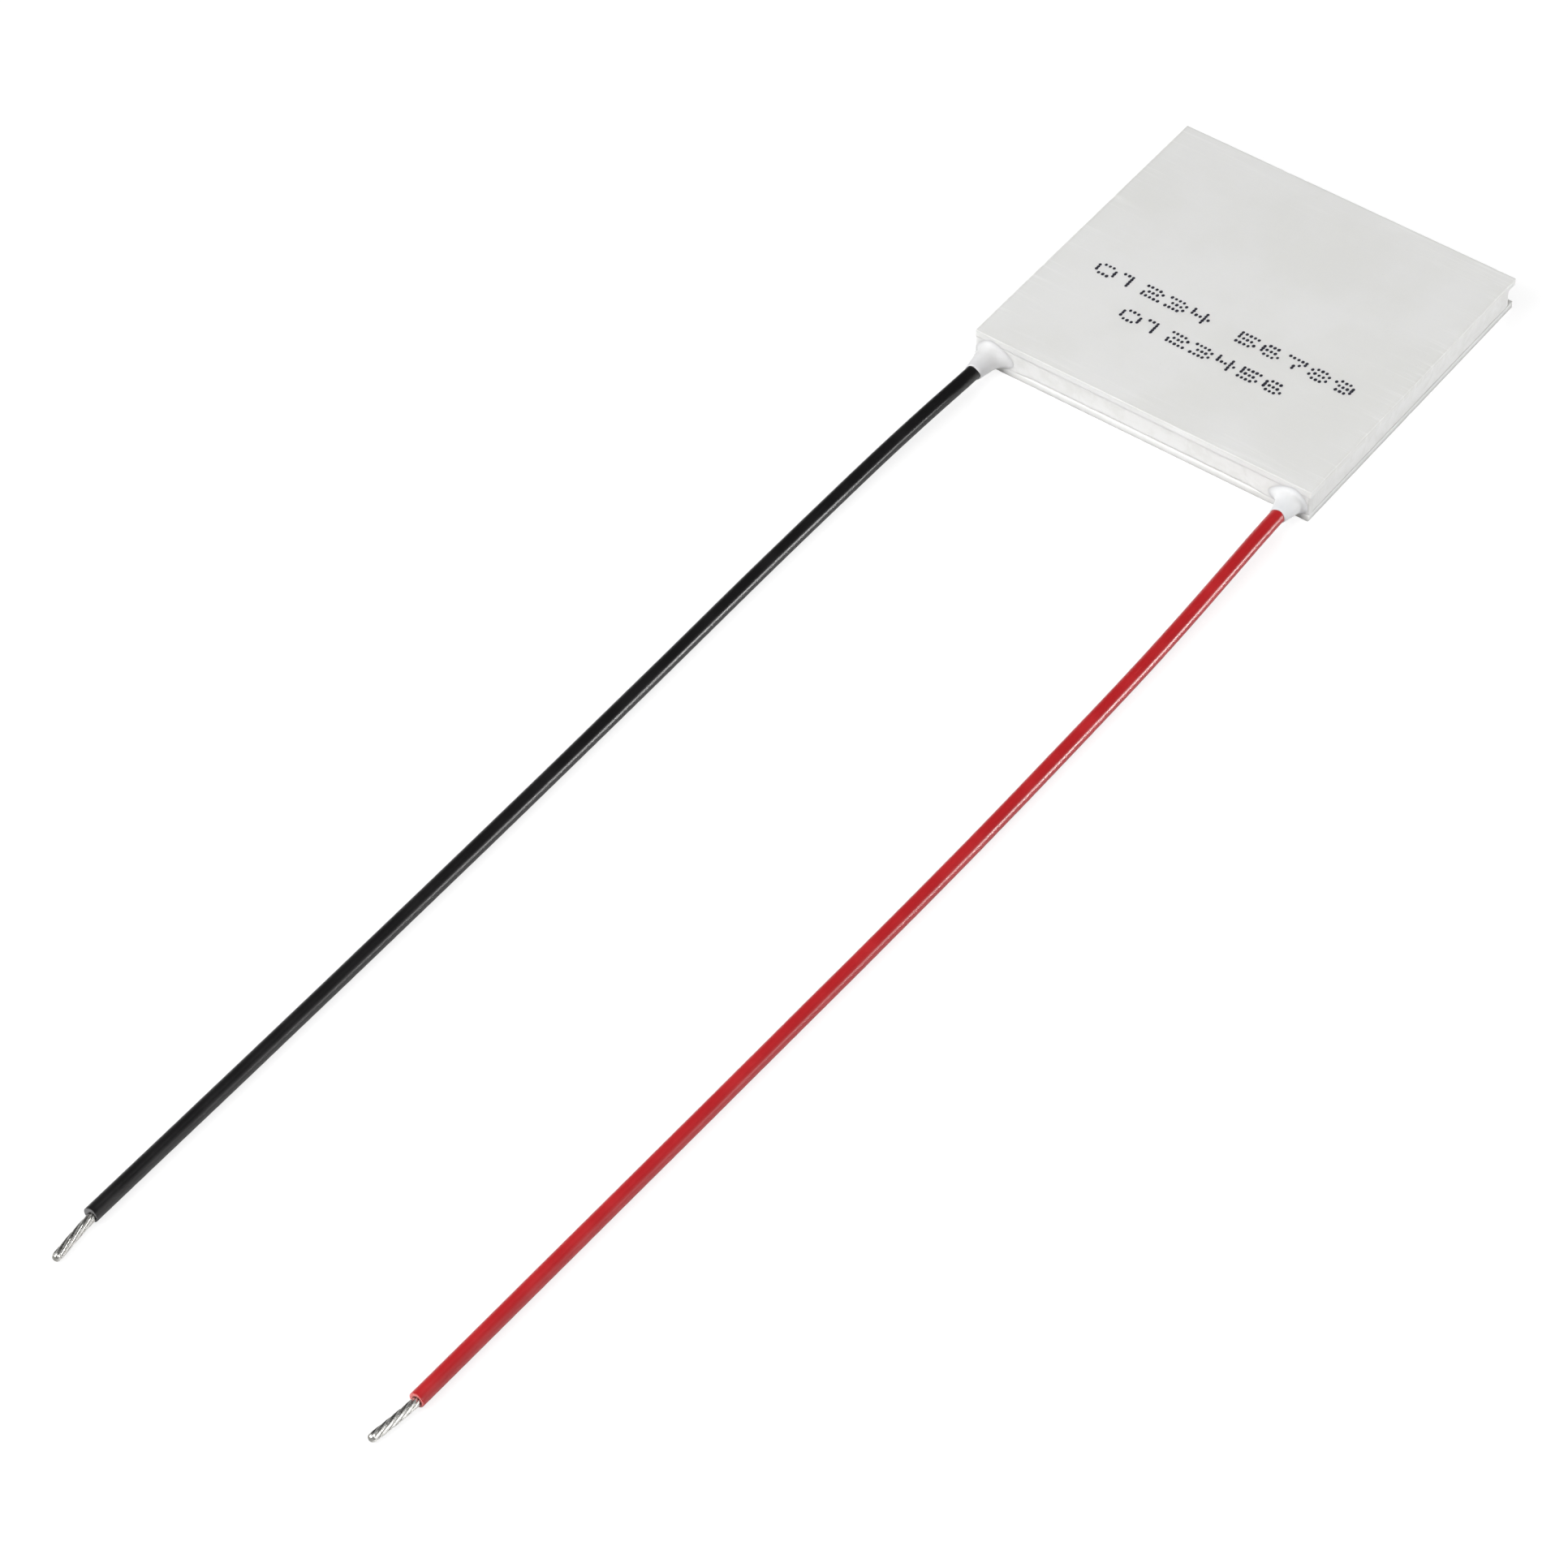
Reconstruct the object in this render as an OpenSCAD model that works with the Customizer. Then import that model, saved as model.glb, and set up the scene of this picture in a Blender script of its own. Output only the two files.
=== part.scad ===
// Thermoelectric cooling module: 127 couples between two ceramic plates,
// sealed round the edge, with two insulated leads that end in tinned strands.
// Millimetres. +Z is up, and the cold side is the upper one.
// The origin is the centre of the underside of the hot side plate.
// The leads leave the front edge, which faces -Y.

/* [Ceramic plates] */
// Width of both plates, along X
plate_w = 40; // [34:0.5:60]
// Depth of both plates, along Y
plate_d = 40; // [34:0.5:60]
// Thickness of each plate
plate_t = 0.8; // [0.5:0.05:1.2]
// Bevel where the plates were sawn, on every outer edge
plate_bevel = 0.06; // [0.02:0.01:0.2]

/* [Semiconductor legs] */
// Positions along each side of the leg pattern, an even number
legs_a_side = 16; // [4:2:16]
// Side of the square section of a leg
leg_w = 1.4; // [0.8:0.05:1.5]
// Length of a leg between its two solder layers
leg_h = 1.6; // [0.8:0.1:3]

/* [Copper tabs and solder] */
// Thickness of a copper tab
tab_t = 0.3; // [0.1:0.05:0.5]
// How far a tab reaches past the legs that stand on it
tab_margin = 0.1; // [0:0.02:0.14]
// Gap between the outermost tabs and the sealant round them
tab_clearance = 0.175; // [0.125:0.025:0.5]
// Thickness of every solder layer
solder_t = 0.05; // [0.02:0.01:0.1]
// Width of the solder fillet on each side of a lead's conductor
lead_fillet = 0.12; // [0.05:0.01:0.15]

/* [Edge sealant] */
// How far in the sealant reaches from the plates' edges
seal_reach = 1.4; // [1.2:0.05:2]
// How far the bead lies inside the plates' edges at the front
seal_front_inset = 0.3; // [0.1:0.05:0.5]
// How far the bead lies inside the plates' edges on the other sides
seal_side_inset = 0.4; // [0.1:0.05:0.45]
// Depth of the hollow curve along the middle of the bead
seal_hollow = 0.15; // [0.05:0.01:0.3]

/* [Leads] */
// Distance from the plates' side edges to the centre of each lead
lead_edge = 2.1; // [2.05:0.05:2.5]
// Outer diameter of a lead's insulation
lead_od = 1.6; // [1.3:0.05:1.8]
// Diameter of a lead's stranded conductor
core_d = 0.95; // [0.6:0.05:1.1]
// Length of each conductor that lies on its terminal tab
core_on_tab = 1.5; // [1:0.1:2]

/* [Lead seals] */
// Length of the sealant cone on the negative lead
negative_seal_len = 3.3; // [2:0.1:4]
// Length of the sealant cone on the positive lead
positive_seal_len = 2.6; // [2:0.1:4]
// Half width of a cone near the plates, before it flares
seal_root_r = 1.3; // [1.15:0.05:1.5]
// Height of the root of a cone above the underside of the module
seal_lift = 0.3; // [0.1:0.05:0.4]
// Wall of sealant left round the lead at the end of a cone
seal_lip = 0.06; // [0.05:0.01:0.2]
// Radius of the flare that joins a cone to the plates on the inner side
seal_flare = 1.1; // [0.5:0.1:2]
// Radius of that flare on the outer side
seal_outer_flare = 0.2; // [0.1:0.05:0.3]
// Radial play between a cone's bore and the insulation in it
seal_play = 0.05; // [0.04:0.01:0.1]

/* [Stripped ends] */
// Strands that show round a stripped end
strands = 7; // [5:1:9]
// Depth of the grooves between the strands
strand_groove = 0.09; // [0.02:0.01:0.15]
// Length in which the strands of the negative stripped end turn once
negative_lay = 13; // [5:0.5:20]
// Length in which the strands of the positive stripped end turn once
positive_lay = 9; // [5:0.5:20]
// Length of the rounded point of solder
point_len = 0.45; // [0.2:0.05:0.8]

/* [Hidden] */
BORE_FN = 48;
EPS = 0.01;

// Heights of the layers, from the underside up
hot_tab_z = plate_t;
hot_solder_z = hot_tab_z + tab_t;
leg_z = hot_solder_z + solder_t;
cold_solder_z = leg_z + leg_h;
cold_tab_z = cold_solder_z + solder_t;
cold_plate_z = cold_tab_z + tab_t;
gap_h = cold_plate_z - plate_t;

// The leg pattern fills the space inside the sealant: half its extent over the
// tabs, and the distance between the centres of neighbouring legs
pattern = [plate_w, plate_d] / 2 - (seal_reach + tab_clearance) * [1, 1];
tab_reach = leg_w / 2 + tab_margin;
leg_pitch = 2 * (pattern - tab_reach * [1, 1]) / (legs_a_side - 1);

// Planes and centre lines that the leads share with the module
front_y = -plate_d / 2;
lead_x = plate_w / 2 - lead_edge;
lead_z = leg_z + core_d / 2;
rest_z = lead_od / 2;
core_end_y = -pattern.y + core_on_tab;
lip_r = rest_z + seal_play + seal_lip;

// Each lead's route from the front edge to the end of its insulation:
// [sideways towards +X, distance from the front edge, height], where the height
// is 1 at the level of the exit and 0 where the lead lies on the table.
negative_route = [
    [0, 0, 1], [0, 2, 1], [-0.05, 4, 0.99], [-0.2, 7, 0.93], [-0.38, 10, 0.82],
    [-0.6, 14, 0.63], [-0.79, 18, 0.43], [-0.93, 22, 0.25], [-1.03, 26.5, 0.1],
    [-1.09, 31, 0.02], [-1.11, 35.5, 0], [-1.11, 40, 0], [-1.09, 44.5, 0],
    [-1.06, 49, 0], [-1.03, 53.5, 0], [-1.01, 58, 0], [-1, 62.5, 0],
    [-0.99, 67, 0], [-0.98, 71.5, 0], [-0.98, 76, 0], [-0.99, 80.5, 0],
    [-1, 85, 0], [-1.02, 89.5, 0], [-1.04, 94, 0], [-1.07, 98.5, 0],
    [-1.1, 103, 0], [-1.13, 107.5, 0], [-1.17, 112, 0], [-1.21, 116.5, 0],
    [-1.25, 121, 0], [-1.3, 125.5, 0], [-1.35, 130, 0], [-1.4, 134.5, 0],
    [-1.45, 139, 0], [-1.48, 142, 0]];
positive_route = [
    [0, 0, 1], [0, 2, 1], [0.03, 4, 0.99], [0.1, 7, 0.93], [0.18, 10, 0.82],
    [0.27, 14, 0.63], [0.35, 18, 0.43], [0.41, 22, 0.25], [0.46, 26.5, 0.1],
    [0.49, 31, 0.02], [0.51, 35.5, 0], [0.52, 40, 0], [0.52, 44.5, 0],
    [0.52, 49, 0], [0.5, 53.5, 0], [0.47, 58, 0], [0.41, 62.5, 0],
    [0.34, 67, 0], [0.25, 71.5, 0], [0.16, 76, 0], [0.05, 80.5, 0],
    [-0.06, 85, 0], [-0.16, 89.5, 0], [-0.27, 94, 0], [-0.37, 98.5, 0],
    [-0.48, 103, 0], [-0.59, 107.5, 0], [-0.7, 112, 0], [-0.81, 116.5, 0],
    [-0.92, 121, 0], [-1.03, 125.5, 0], [-1.14, 130, 0], [-1.25, 134.5, 0],
    [-1.35, 138.5, 0], [-1.43, 141.5, 0]];
// Where the conductor leaves the end face of each lead, from the face's centre:
// [sideways towards +X, drop]
negative_core = [0.12, 0.16];
positive_core = [0.02, 0.1];
// Where the point of each stripped end lies from the place where it leaves:
// [sideways towards +X, further out, drop]
negative_bend = [0.42, 5.75, 0.1];
positive_bend = [-0.78, 5.75, 0.15];
// How far along its length a stripped end keeps to the direction of its lead
TURN_SHARE = 0.2;
// Rings along a stripped end, and along its rounded point
STRIP_RINGS = 14;
POINT_RINGS = 4;
// Sides of the tube that stands for a lead's insulation
LEAD_SIDES = 8;
// Faces on each side of a strand
STRAND_FACETS = 4;
// Sides and rings of a lead's sealant cone
CONE_SIDES = 32;
CONE_RINGS = 14;

ALUMINA = "#f2f2ef";
SILICONE = "#f7f7f4";
COPPER = "#c77b4a";
SOLDER = "#b9bcbe";
N_TYPE = "#5f646b";
P_TYPE = "#484c52";
TINNED = "#cfd0cc";
RED_PVC = "#b5282c";
BLACK_PVC = "#1e1c1e";

function two_digits(n) = str(n < 10 ? "0" : "", n);
function column_name(type, column) = str(type, "_type_legs_column_", two_digits(column + 1));
COLUMNS = [0 : legs_a_side - 1];

// ---- The serpentine of legs ----

// The current's way through the pattern: up one column and down the next. The
// two front corner positions are left free for the leads.
path = [
    for (column = COLUMNS)
        for (step = COLUMNS)
            let (row = column % 2 == 0 ? step : legs_a_side - 1 - step)
                if (row > 0 || (column > 0 && column < legs_a_side - 1)) [column, row]];
LAST = len(path) - 1;

// Centre of a position of the pattern
function spot(cell) =
    [for (axis = [0, 1]) (cell[axis] - (legs_a_side - 1) / 2) * leg_pitch[axis]];

// A slab over two positions of the pattern, reaching out by grow
module bridge(a, b, grow, z, thick) {
    low = [min(spot(a).x, spot(b).x) - grow, min(spot(a).y, spot(b).y) - grow];
    high = [max(spot(a).x, spot(b).x) + grow, max(spot(a).y, spot(b).y) + grow];
    translate([low.x, low.y, z]) cube([high.x - low.x, high.y - low.y, thick]);
}

// The copper tabs of one side, each joining a leg of the path to the next one
module couple_tabs(first, z) {
    color(COPPER)
        for (i = [first : 2 : LAST - 1]) bridge(path[i], path[i + 1], tab_reach, z, tab_t);
}

// One solid of a leg's section on every leg of the path
module leg_layer(z, thick) {
    color(SOLDER)
        for (cell = path) bridge(cell, cell, leg_w / 2, z, thick);
}

// The legs of one type in one column. The types alternate along the path, which
// starts with a p leg beside the negative lead and ends with an n leg beside the
// positive one.
module legs(type, column) {
    color(type == "p" ? P_TYPE : N_TYPE)
        for (i = [type == "p" ? 0 : 1 : 2 : LAST])
            if (path[i].x == column) bridge(path[i], path[i], leg_w / 2, leg_z, leg_h);
}

// ---- Plates ----

// A rectangle with its four corners cut at 45 degrees by the plates' bevel
module bevelled_rectangle(w, h) {
    c = plate_bevel;
    polygon([[-w / 2 + c, 0], [w / 2 - c, 0], [w / 2, c], [w / 2, h - c], [w / 2 - c, h],
             [-w / 2 + c, h], [-w / 2, h - c], [-w / 2, c]]);
}

// A sawn plate: its section along X and its section along Y, intersected
module plate(z) {
    color(ALUMINA) translate([0, 0, z]) intersection() {
        rotate([90, 0, 0]) linear_extrude(plate_d, center = true) bevelled_rectangle(plate_w, plate_t);
        rotate([90, 0, 90]) linear_extrude(plate_w, center = true) bevelled_rectangle(plate_d, plate_t);
    }
}

// ---- Sealant ----

// Radius of the hollow curve that is seal_hollow deep over the gap's height
hollow_r = (pow(gap_h / 2, 2) + pow(seal_hollow, 2)) / (2 * seal_hollow);

// A round bar along X that hollows out a bead whose outer face is at y
module hollow_bar(y) {
    translate([0, y - hollow_r + seal_hollow, plate_t + gap_h / 2])
        rotate([0, 90, 0]) cylinder(h = 2 * max(plate_w, plate_d), r = hollow_r, center = true, $fn = 96);
}

// Rectangle inside the plates' outline: the front inset, and one inset elsewhere
module inset_outline(front, side) {
    translate([-plate_w / 2 + side, front_y + front])
        square([plate_w - 2 * side, plate_d - side - front]);
}

// The bead round the edge. It is flush round each lead, where the sealant was
// pressed in, and the bare conductors run through it.
module perimeter_sealant() {
    inner_w = seal_root_r + seal_flare;
    outer_w = seal_root_r + seal_outer_flare;
    color(SILICONE) difference() {
        union() {
            difference() {
                translate([0, 0, plate_t]) linear_extrude(gap_h)
                    inset_outline(seal_front_inset, seal_side_inset);
                hollow_bar(front_y + seal_front_inset);
                rotate(180) hollow_bar(front_y + seal_side_inset);
                for (turn = [90, -90]) rotate(turn) hollow_bar(-plate_w / 2 + seal_side_inset);
            }
            for (side = [-1, 1])
                translate([side > 0 ? lead_x - inner_w : -lead_x - outer_w, front_y, plate_t])
                    cube([inner_w + outer_w, seal_reach, gap_h]);
        }
        translate([0, 0, plate_t - EPS]) linear_extrude(gap_h + 2 * EPS)
            inset_outline(seal_reach, seal_reach);
        for (side = [-1, 1]) conductor_run(side);
    }
}

// A half width or half height of a cone that tapers evenly from its root to its
// lip, and the width that a flare of radius r adds to it: a quarter circle that
// starts square to the plates
function taper(root, d, len) = root + (lip_r - root) * d / len;
function flare_at(d, r) = d >= r ? 0 : r - sqrt(pow(r, 2) - pow(r - d, 2));

// One ring of a cone: a half ellipse towards the module's middle, which flares
// widely, and a half ellipse on the outer side, which flares a little
function cone_ring(side, d, len) =
    let (half_w = taper(seal_root_r, d, len),
         half_h = taper(lead_z - seal_lift, d, len))
    [for (k = [0 : CONE_SIDES - 1])
        let (a = 360 * k / CONE_SIDES,
             flare = side * cos(a) < 0 ? seal_flare : seal_outer_flare)
        [side * lead_x + (half_w + flare_at(d, flare)) * cos(a), front_y - d,
         lead_z + half_h * sin(a)]];

// The sealant cone on a lead, with a bore that the insulation lies in. Its rings
// are closest together in the flare.
module lead_seal(side, len) {
    rings = [for (i = [0 : CONE_RINGS - 1]) cone_ring(side, len * pow(i / (CONE_RINGS - 1), 2), len)];
    color(SILICONE) difference() {
        skin(rings);
        translate([side * lead_x, front_y + EPS, lead_z]) rotate([90, 0, 0])
            cylinder(h = len + 2 * EPS, r = rest_z + seal_play, $fn = BORE_FN);
    }
}

// ---- Lead ends inside the module ----

// The bare conductor from the front edge to its place on the terminal tab
module conductor_run(side) {
    translate([side * lead_x, front_y, lead_z]) rotate([-90, 0, 0])
        cylinder(h = core_end_y - front_y, d = core_d, $fn = BORE_FN);
}

module inner_conductor(side) {
    color(TINNED) conductor_run(side);
}

// The tab under a lead and the first or last leg, as wide as both need
module terminal_tab(side) {
    inner = min(pattern.x - 2 * tab_reach, lead_x - core_d / 2 - lead_fillet);
    outer = max(pattern.x, lead_x + core_d / 2 + lead_fillet);
    color(COPPER) translate([side < 0 ? -outer : inner, -pattern.y, hot_tab_z])
        cube([outer - inner, leg_pitch.y + 2 * tab_reach, tab_t]);
}

// Solder that holds a conductor on its tab: a sloped fillet up to the middle of
// the conductor, over the length that lies on the tab
module lead_solder(side) {
    foot = core_d / 2 + lead_fillet;
    rise = lead_z - hot_solder_z;
    color(SOLDER) difference() {
        translate([side * lead_x, core_end_y, hot_solder_z]) rotate([90, 0, 0])
            linear_extrude(core_on_tab)
                polygon([[-foot, 0], [foot, 0], [core_d / 2, rise], [-core_d / 2, rise]]);
        conductor_run(side);
    }
}

// ---- Leads ----

// Closed solid through rings of points, each ring with as many points
module skin(rings) {
    n = len(rings[0]);
    last = len(rings) - 1;
    sides = [for (i = [0 : last - 1]) for (k = [0 : n - 1])
        let (a = i * n + k, b = i * n + (k + 1) % n)
            each [[a, b, b + n], [a, b + n, a + n]]];
    caps = [[for (k = [n - 1 : -1 : 0]) k], [for (k = [0 : n - 1]) last * n + k]];
    polyhedron(points = [for (ring = rings) each ring], faces = concat(sides, caps), convexity = 4);
}

function unit(v) = v / norm(v);

// Direction of a route at one of its points, from its two neighbours
function heading(points, i) =
    unit(points[min(i + 1, len(points) - 1)] - points[max(i - 1, 0)]);

// A ring square to a direction: polar offsets [radius, angle] round a centre
function ring(centre, dir, polar) =
    let (right = unit(cross(dir, [0, 0, 1])), up = cross(right, dir))
    [for (p = polar) centre + p[0] * (cos(p[1]) * right + sin(p[1]) * up)];

// A lead's route in the module's frame
function placed(route, side) =
    [for (p = route) [side * lead_x + p[0], front_y - p[1], rest_z + p[2] * (lead_z - rest_z)]];

// Corners of the insulation's section, with a flat side down
LEAD_CORNERS = [for (k = [0 : LEAD_SIDES - 1]) [lead_od / 2, 360 * (k + 0.5) / LEAD_SIDES]];

// The insulated run of a lead, swept along its route
module lead(route, side, colour) {
    points = placed(route, side);
    color(colour) skin([for (i = [0 : len(points) - 1]) ring(points[i], heading(points, i), LEAD_CORNERS)]);
}

// Section of a stripped end, lobed by its strands and turned with its length
function strand_section(turn, scale) =
    [for (k = [0 : strands * STRAND_FACETS - 1])
        let (a = 360 * k / (strands * STRAND_FACETS))
        [scale * (core_d / 2 - strand_groove * (1 - cos(strands * a)) / 2), a + turn]];

// Point at a share t of a curve that leaves along dir, turns soon after its
// start and ends at bend from it
function bent(start, dir, bend, t) =
    let (middle = start + dir * norm(bend) * TURN_SHARE, end = start + bend)
    pow(1 - t, 2) * start + 2 * t * (1 - t) * middle + pow(t, 2) * end;

// The stripped, twisted and tinned end of a lead, with a rounded point
module stripped_end(route, side, core, bend, lay) {
    points = placed(route, side);
    start = points[len(points) - 1] + [core[0], 0, -core[1]];
    dir = heading(points, len(points) - 1);
    offset = [bend[0], -bend[1], -bend[2]];
    run = norm(offset);
    stops = concat(
        [for (i = [0 : STRIP_RINGS]) [i / STRIP_RINGS * (1 - point_len / run), 1]],
        [for (i = [1 : POINT_RINGS])
            let (a = 90 * i / (POINT_RINGS + 0.3)) [1 - point_len / run * (1 - sin(a)), cos(a)]]);
    centres = [for (s = stops) bent(start, dir, offset, s[0])];
    color(TINNED) skin([
        for (i = [0 : len(stops) - 1])
            ring(centres[i], i == 0 ? dir : heading(centres, i),
                 strand_section(360 * run * stops[i][0] / lay, stops[i][1]))]);
}

// ---- The part ----

plate(0);  // hot_side_plate
plate(cold_plate_z);  // cold_side_plate
perimeter_sealant();
couple_tabs(1, hot_tab_z);  // hot_side_tabs
couple_tabs(0, cold_tab_z);  // cold_side_tabs
terminal_tab(-1);  // negative_terminal_tab
terminal_tab(1);  // positive_terminal_tab
leg_layer(hot_solder_z, solder_t);  // hot_side_solder
leg_layer(cold_solder_z, solder_t);  // cold_side_solder
lead_solder(-1);  // negative_lead_solder
lead_solder(1);  // positive_lead_solder
inner_conductor(-1);  // negative_inner_conductor
inner_conductor(1);  // positive_inner_conductor
lead_seal(-1, negative_seal_len);  // negative_lead_seal
lead_seal(1, positive_seal_len);  // positive_lead_seal
lead(negative_route, -1, BLACK_PVC);  // negative_lead
lead(positive_route, 1, RED_PVC);  // positive_lead
stripped_end(negative_route, -1, negative_core, negative_bend, negative_lay);  // negative_stripped_end
stripped_end(positive_route, 1, positive_core, positive_bend, positive_lay);  // positive_stripped_end
for (column = COLUMNS) {
    legs("p", column);
    legs("n", column);
}
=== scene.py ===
"""A thermoelectric cooling module: two alumina plates, sealed round the edge, and two leads.

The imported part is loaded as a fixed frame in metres. Each class below builds one
sub-assembly of the module in that frame and dresses it. The pieces that only the inside
holds stay as they were packed, and get their finish here.
"""

import logging
import math
from dataclasses import dataclass, field
from enum import Enum

import bpy
import numpy as np
from mathutils import Matrix, Vector


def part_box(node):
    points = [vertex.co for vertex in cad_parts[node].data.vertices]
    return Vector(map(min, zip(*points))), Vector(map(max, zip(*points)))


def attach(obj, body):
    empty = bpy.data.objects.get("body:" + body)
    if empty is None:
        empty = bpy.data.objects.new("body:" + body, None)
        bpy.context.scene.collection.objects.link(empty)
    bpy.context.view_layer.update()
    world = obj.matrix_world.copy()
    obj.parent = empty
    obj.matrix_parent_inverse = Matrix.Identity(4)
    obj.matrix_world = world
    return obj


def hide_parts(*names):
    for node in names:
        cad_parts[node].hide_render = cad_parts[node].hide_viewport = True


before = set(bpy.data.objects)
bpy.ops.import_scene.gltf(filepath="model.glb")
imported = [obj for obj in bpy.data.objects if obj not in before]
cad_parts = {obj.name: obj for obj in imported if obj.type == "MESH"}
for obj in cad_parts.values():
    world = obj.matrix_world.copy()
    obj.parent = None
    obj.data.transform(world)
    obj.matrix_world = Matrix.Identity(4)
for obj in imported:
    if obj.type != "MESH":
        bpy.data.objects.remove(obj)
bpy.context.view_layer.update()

LOG = logging.getLogger("module")
MM = 0.001
SEED = 20
# Attribute of a lead's pieces: the place on the lead as if it ran straight along Z
STRAIGHT = "straight"
# Strands in each lead
STRANDS = 7
# Range of a wave's random phase: one turn
PHASE = (0, 6.28)

Colour = tuple[float, float, float, float]
Pair = tuple[float, float]
Triple = tuple[float, float, float]
Tree = bpy.types.NodeTree
Node = bpy.types.Node
Piece = bpy.types.Object

# Inputs of a Mix node that mixes colours: the share, the colour under and the colour over
SHARE, UNDER, OVER = 0, 6, 7
COLOURS = {"data_type": "RGBA"}
SMOOTH = {"interpolation_type": "SMOOTHSTEP"}


# ---- Colours and nodes ----


def linear(hex_colour: str) -> Colour:
    """Turn an sRGB hex colour into linear light.

    Args:
        hex_colour: the colour as "#rrggbb".

    Returns:
        Linear red, green and blue from 0 to 1, and 1 for alpha.
    """
    parts = np.array([int(hex_colour[i : i + 2], 16) / 255 for i in (1, 3, 5)])
    light = np.where(parts <= 0.04045, parts / 12.92, ((parts + 0.055) / 1.055) ** 2.4)
    return (float(light[0]), float(light[1]), float(light[2]), 1.0)


def per_m(size_mm: float) -> float:
    """Return how often a pattern of this size in millimetres repeats in a metre."""
    return 1 / (size_mm * MM)


def stretched(across_mm: float, along_mm: float) -> Triple:
    """Return a Mapping node's scale for a pattern of these sizes across and along Z."""
    return per_m(across_mm), per_m(across_mm), per_m(along_mm)


def wire(
    tree: Tree,
    node: Node,
    sockets: dict[str | int, object] | None = None,
    links: dict[str | int, Node | bpy.types.NodeSocket] | None = None,
) -> Node:
    """Set and link the inputs of a node.

    Args:
        tree: the tree that the node is in.
        node: the node.
        sockets: values of unlinked inputs, by name or number.
        links: what feeds each linked input, by name or number. A node stands for the
            first output that it has in use.

    Returns:
        The same node.
    """
    for key, value in (sockets or {}).items():
        node.inputs[key].default_value = value
    for key, source in (links or {}).items():
        if isinstance(source, Node):
            source = next(output for output in source.outputs if output.enabled)
        tree.links.new(source, node.inputs[key])
    return node


def add(
    tree: Tree,
    kind: str,
    sockets: dict[str | int, object] | None = None,
    links: dict[str | int, Node | bpy.types.NodeSocket] | None = None,
    **options: object,
) -> Node:
    """Add a shader node with its settings and links.

    Args:
        tree: the node tree that the node goes into.
        kind: the node's type, without its "ShaderNode" prefix.
        sockets: as in wire.
        links: as in wire.
        options: the node's own properties, such as operation.

    Returns:
        The new node.
    """
    node = tree.nodes.new("ShaderNode" + kind)
    for name, value in options.items():
        setattr(node, name, value)
    return wire(tree, node, sockets, links)


# ---- Finishes ----


@dataclass(frozen=True)
class Finish:
    """A material's name, and the way that its node tree is made."""

    name: str

    def material(self) -> bpy.types.Material:
        """Return the finish's material, built the first time it is asked for.

        Returns:
            The Blender material.
        """
        made = bpy.data.materials.get(self.name)
        if made is None:
            made = bpy.data.materials.new(self.name)
            made.use_nodes = True
            tree = made.node_tree
            tree.nodes.clear()
            shader = add(tree, "BsdfPrincipled")
            add(tree, "OutputMaterial", links={"Surface": shader})
            self.dress(tree, shader)
        return made

    def dress(self, tree: Tree, shader: Node) -> None:
        """Set and feed the shader.

        Args:
            tree: the material's node tree.
            shader: its Principled BSDF.
        """
        raise NotImplementedError

    def put_on(self, piece: Piece) -> None:
        """Make this the only material of a piece.

        Args:
            piece: the mesh object to dress.
        """
        piece.data.materials.clear()
        piece.data.materials.append(self.material())


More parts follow.
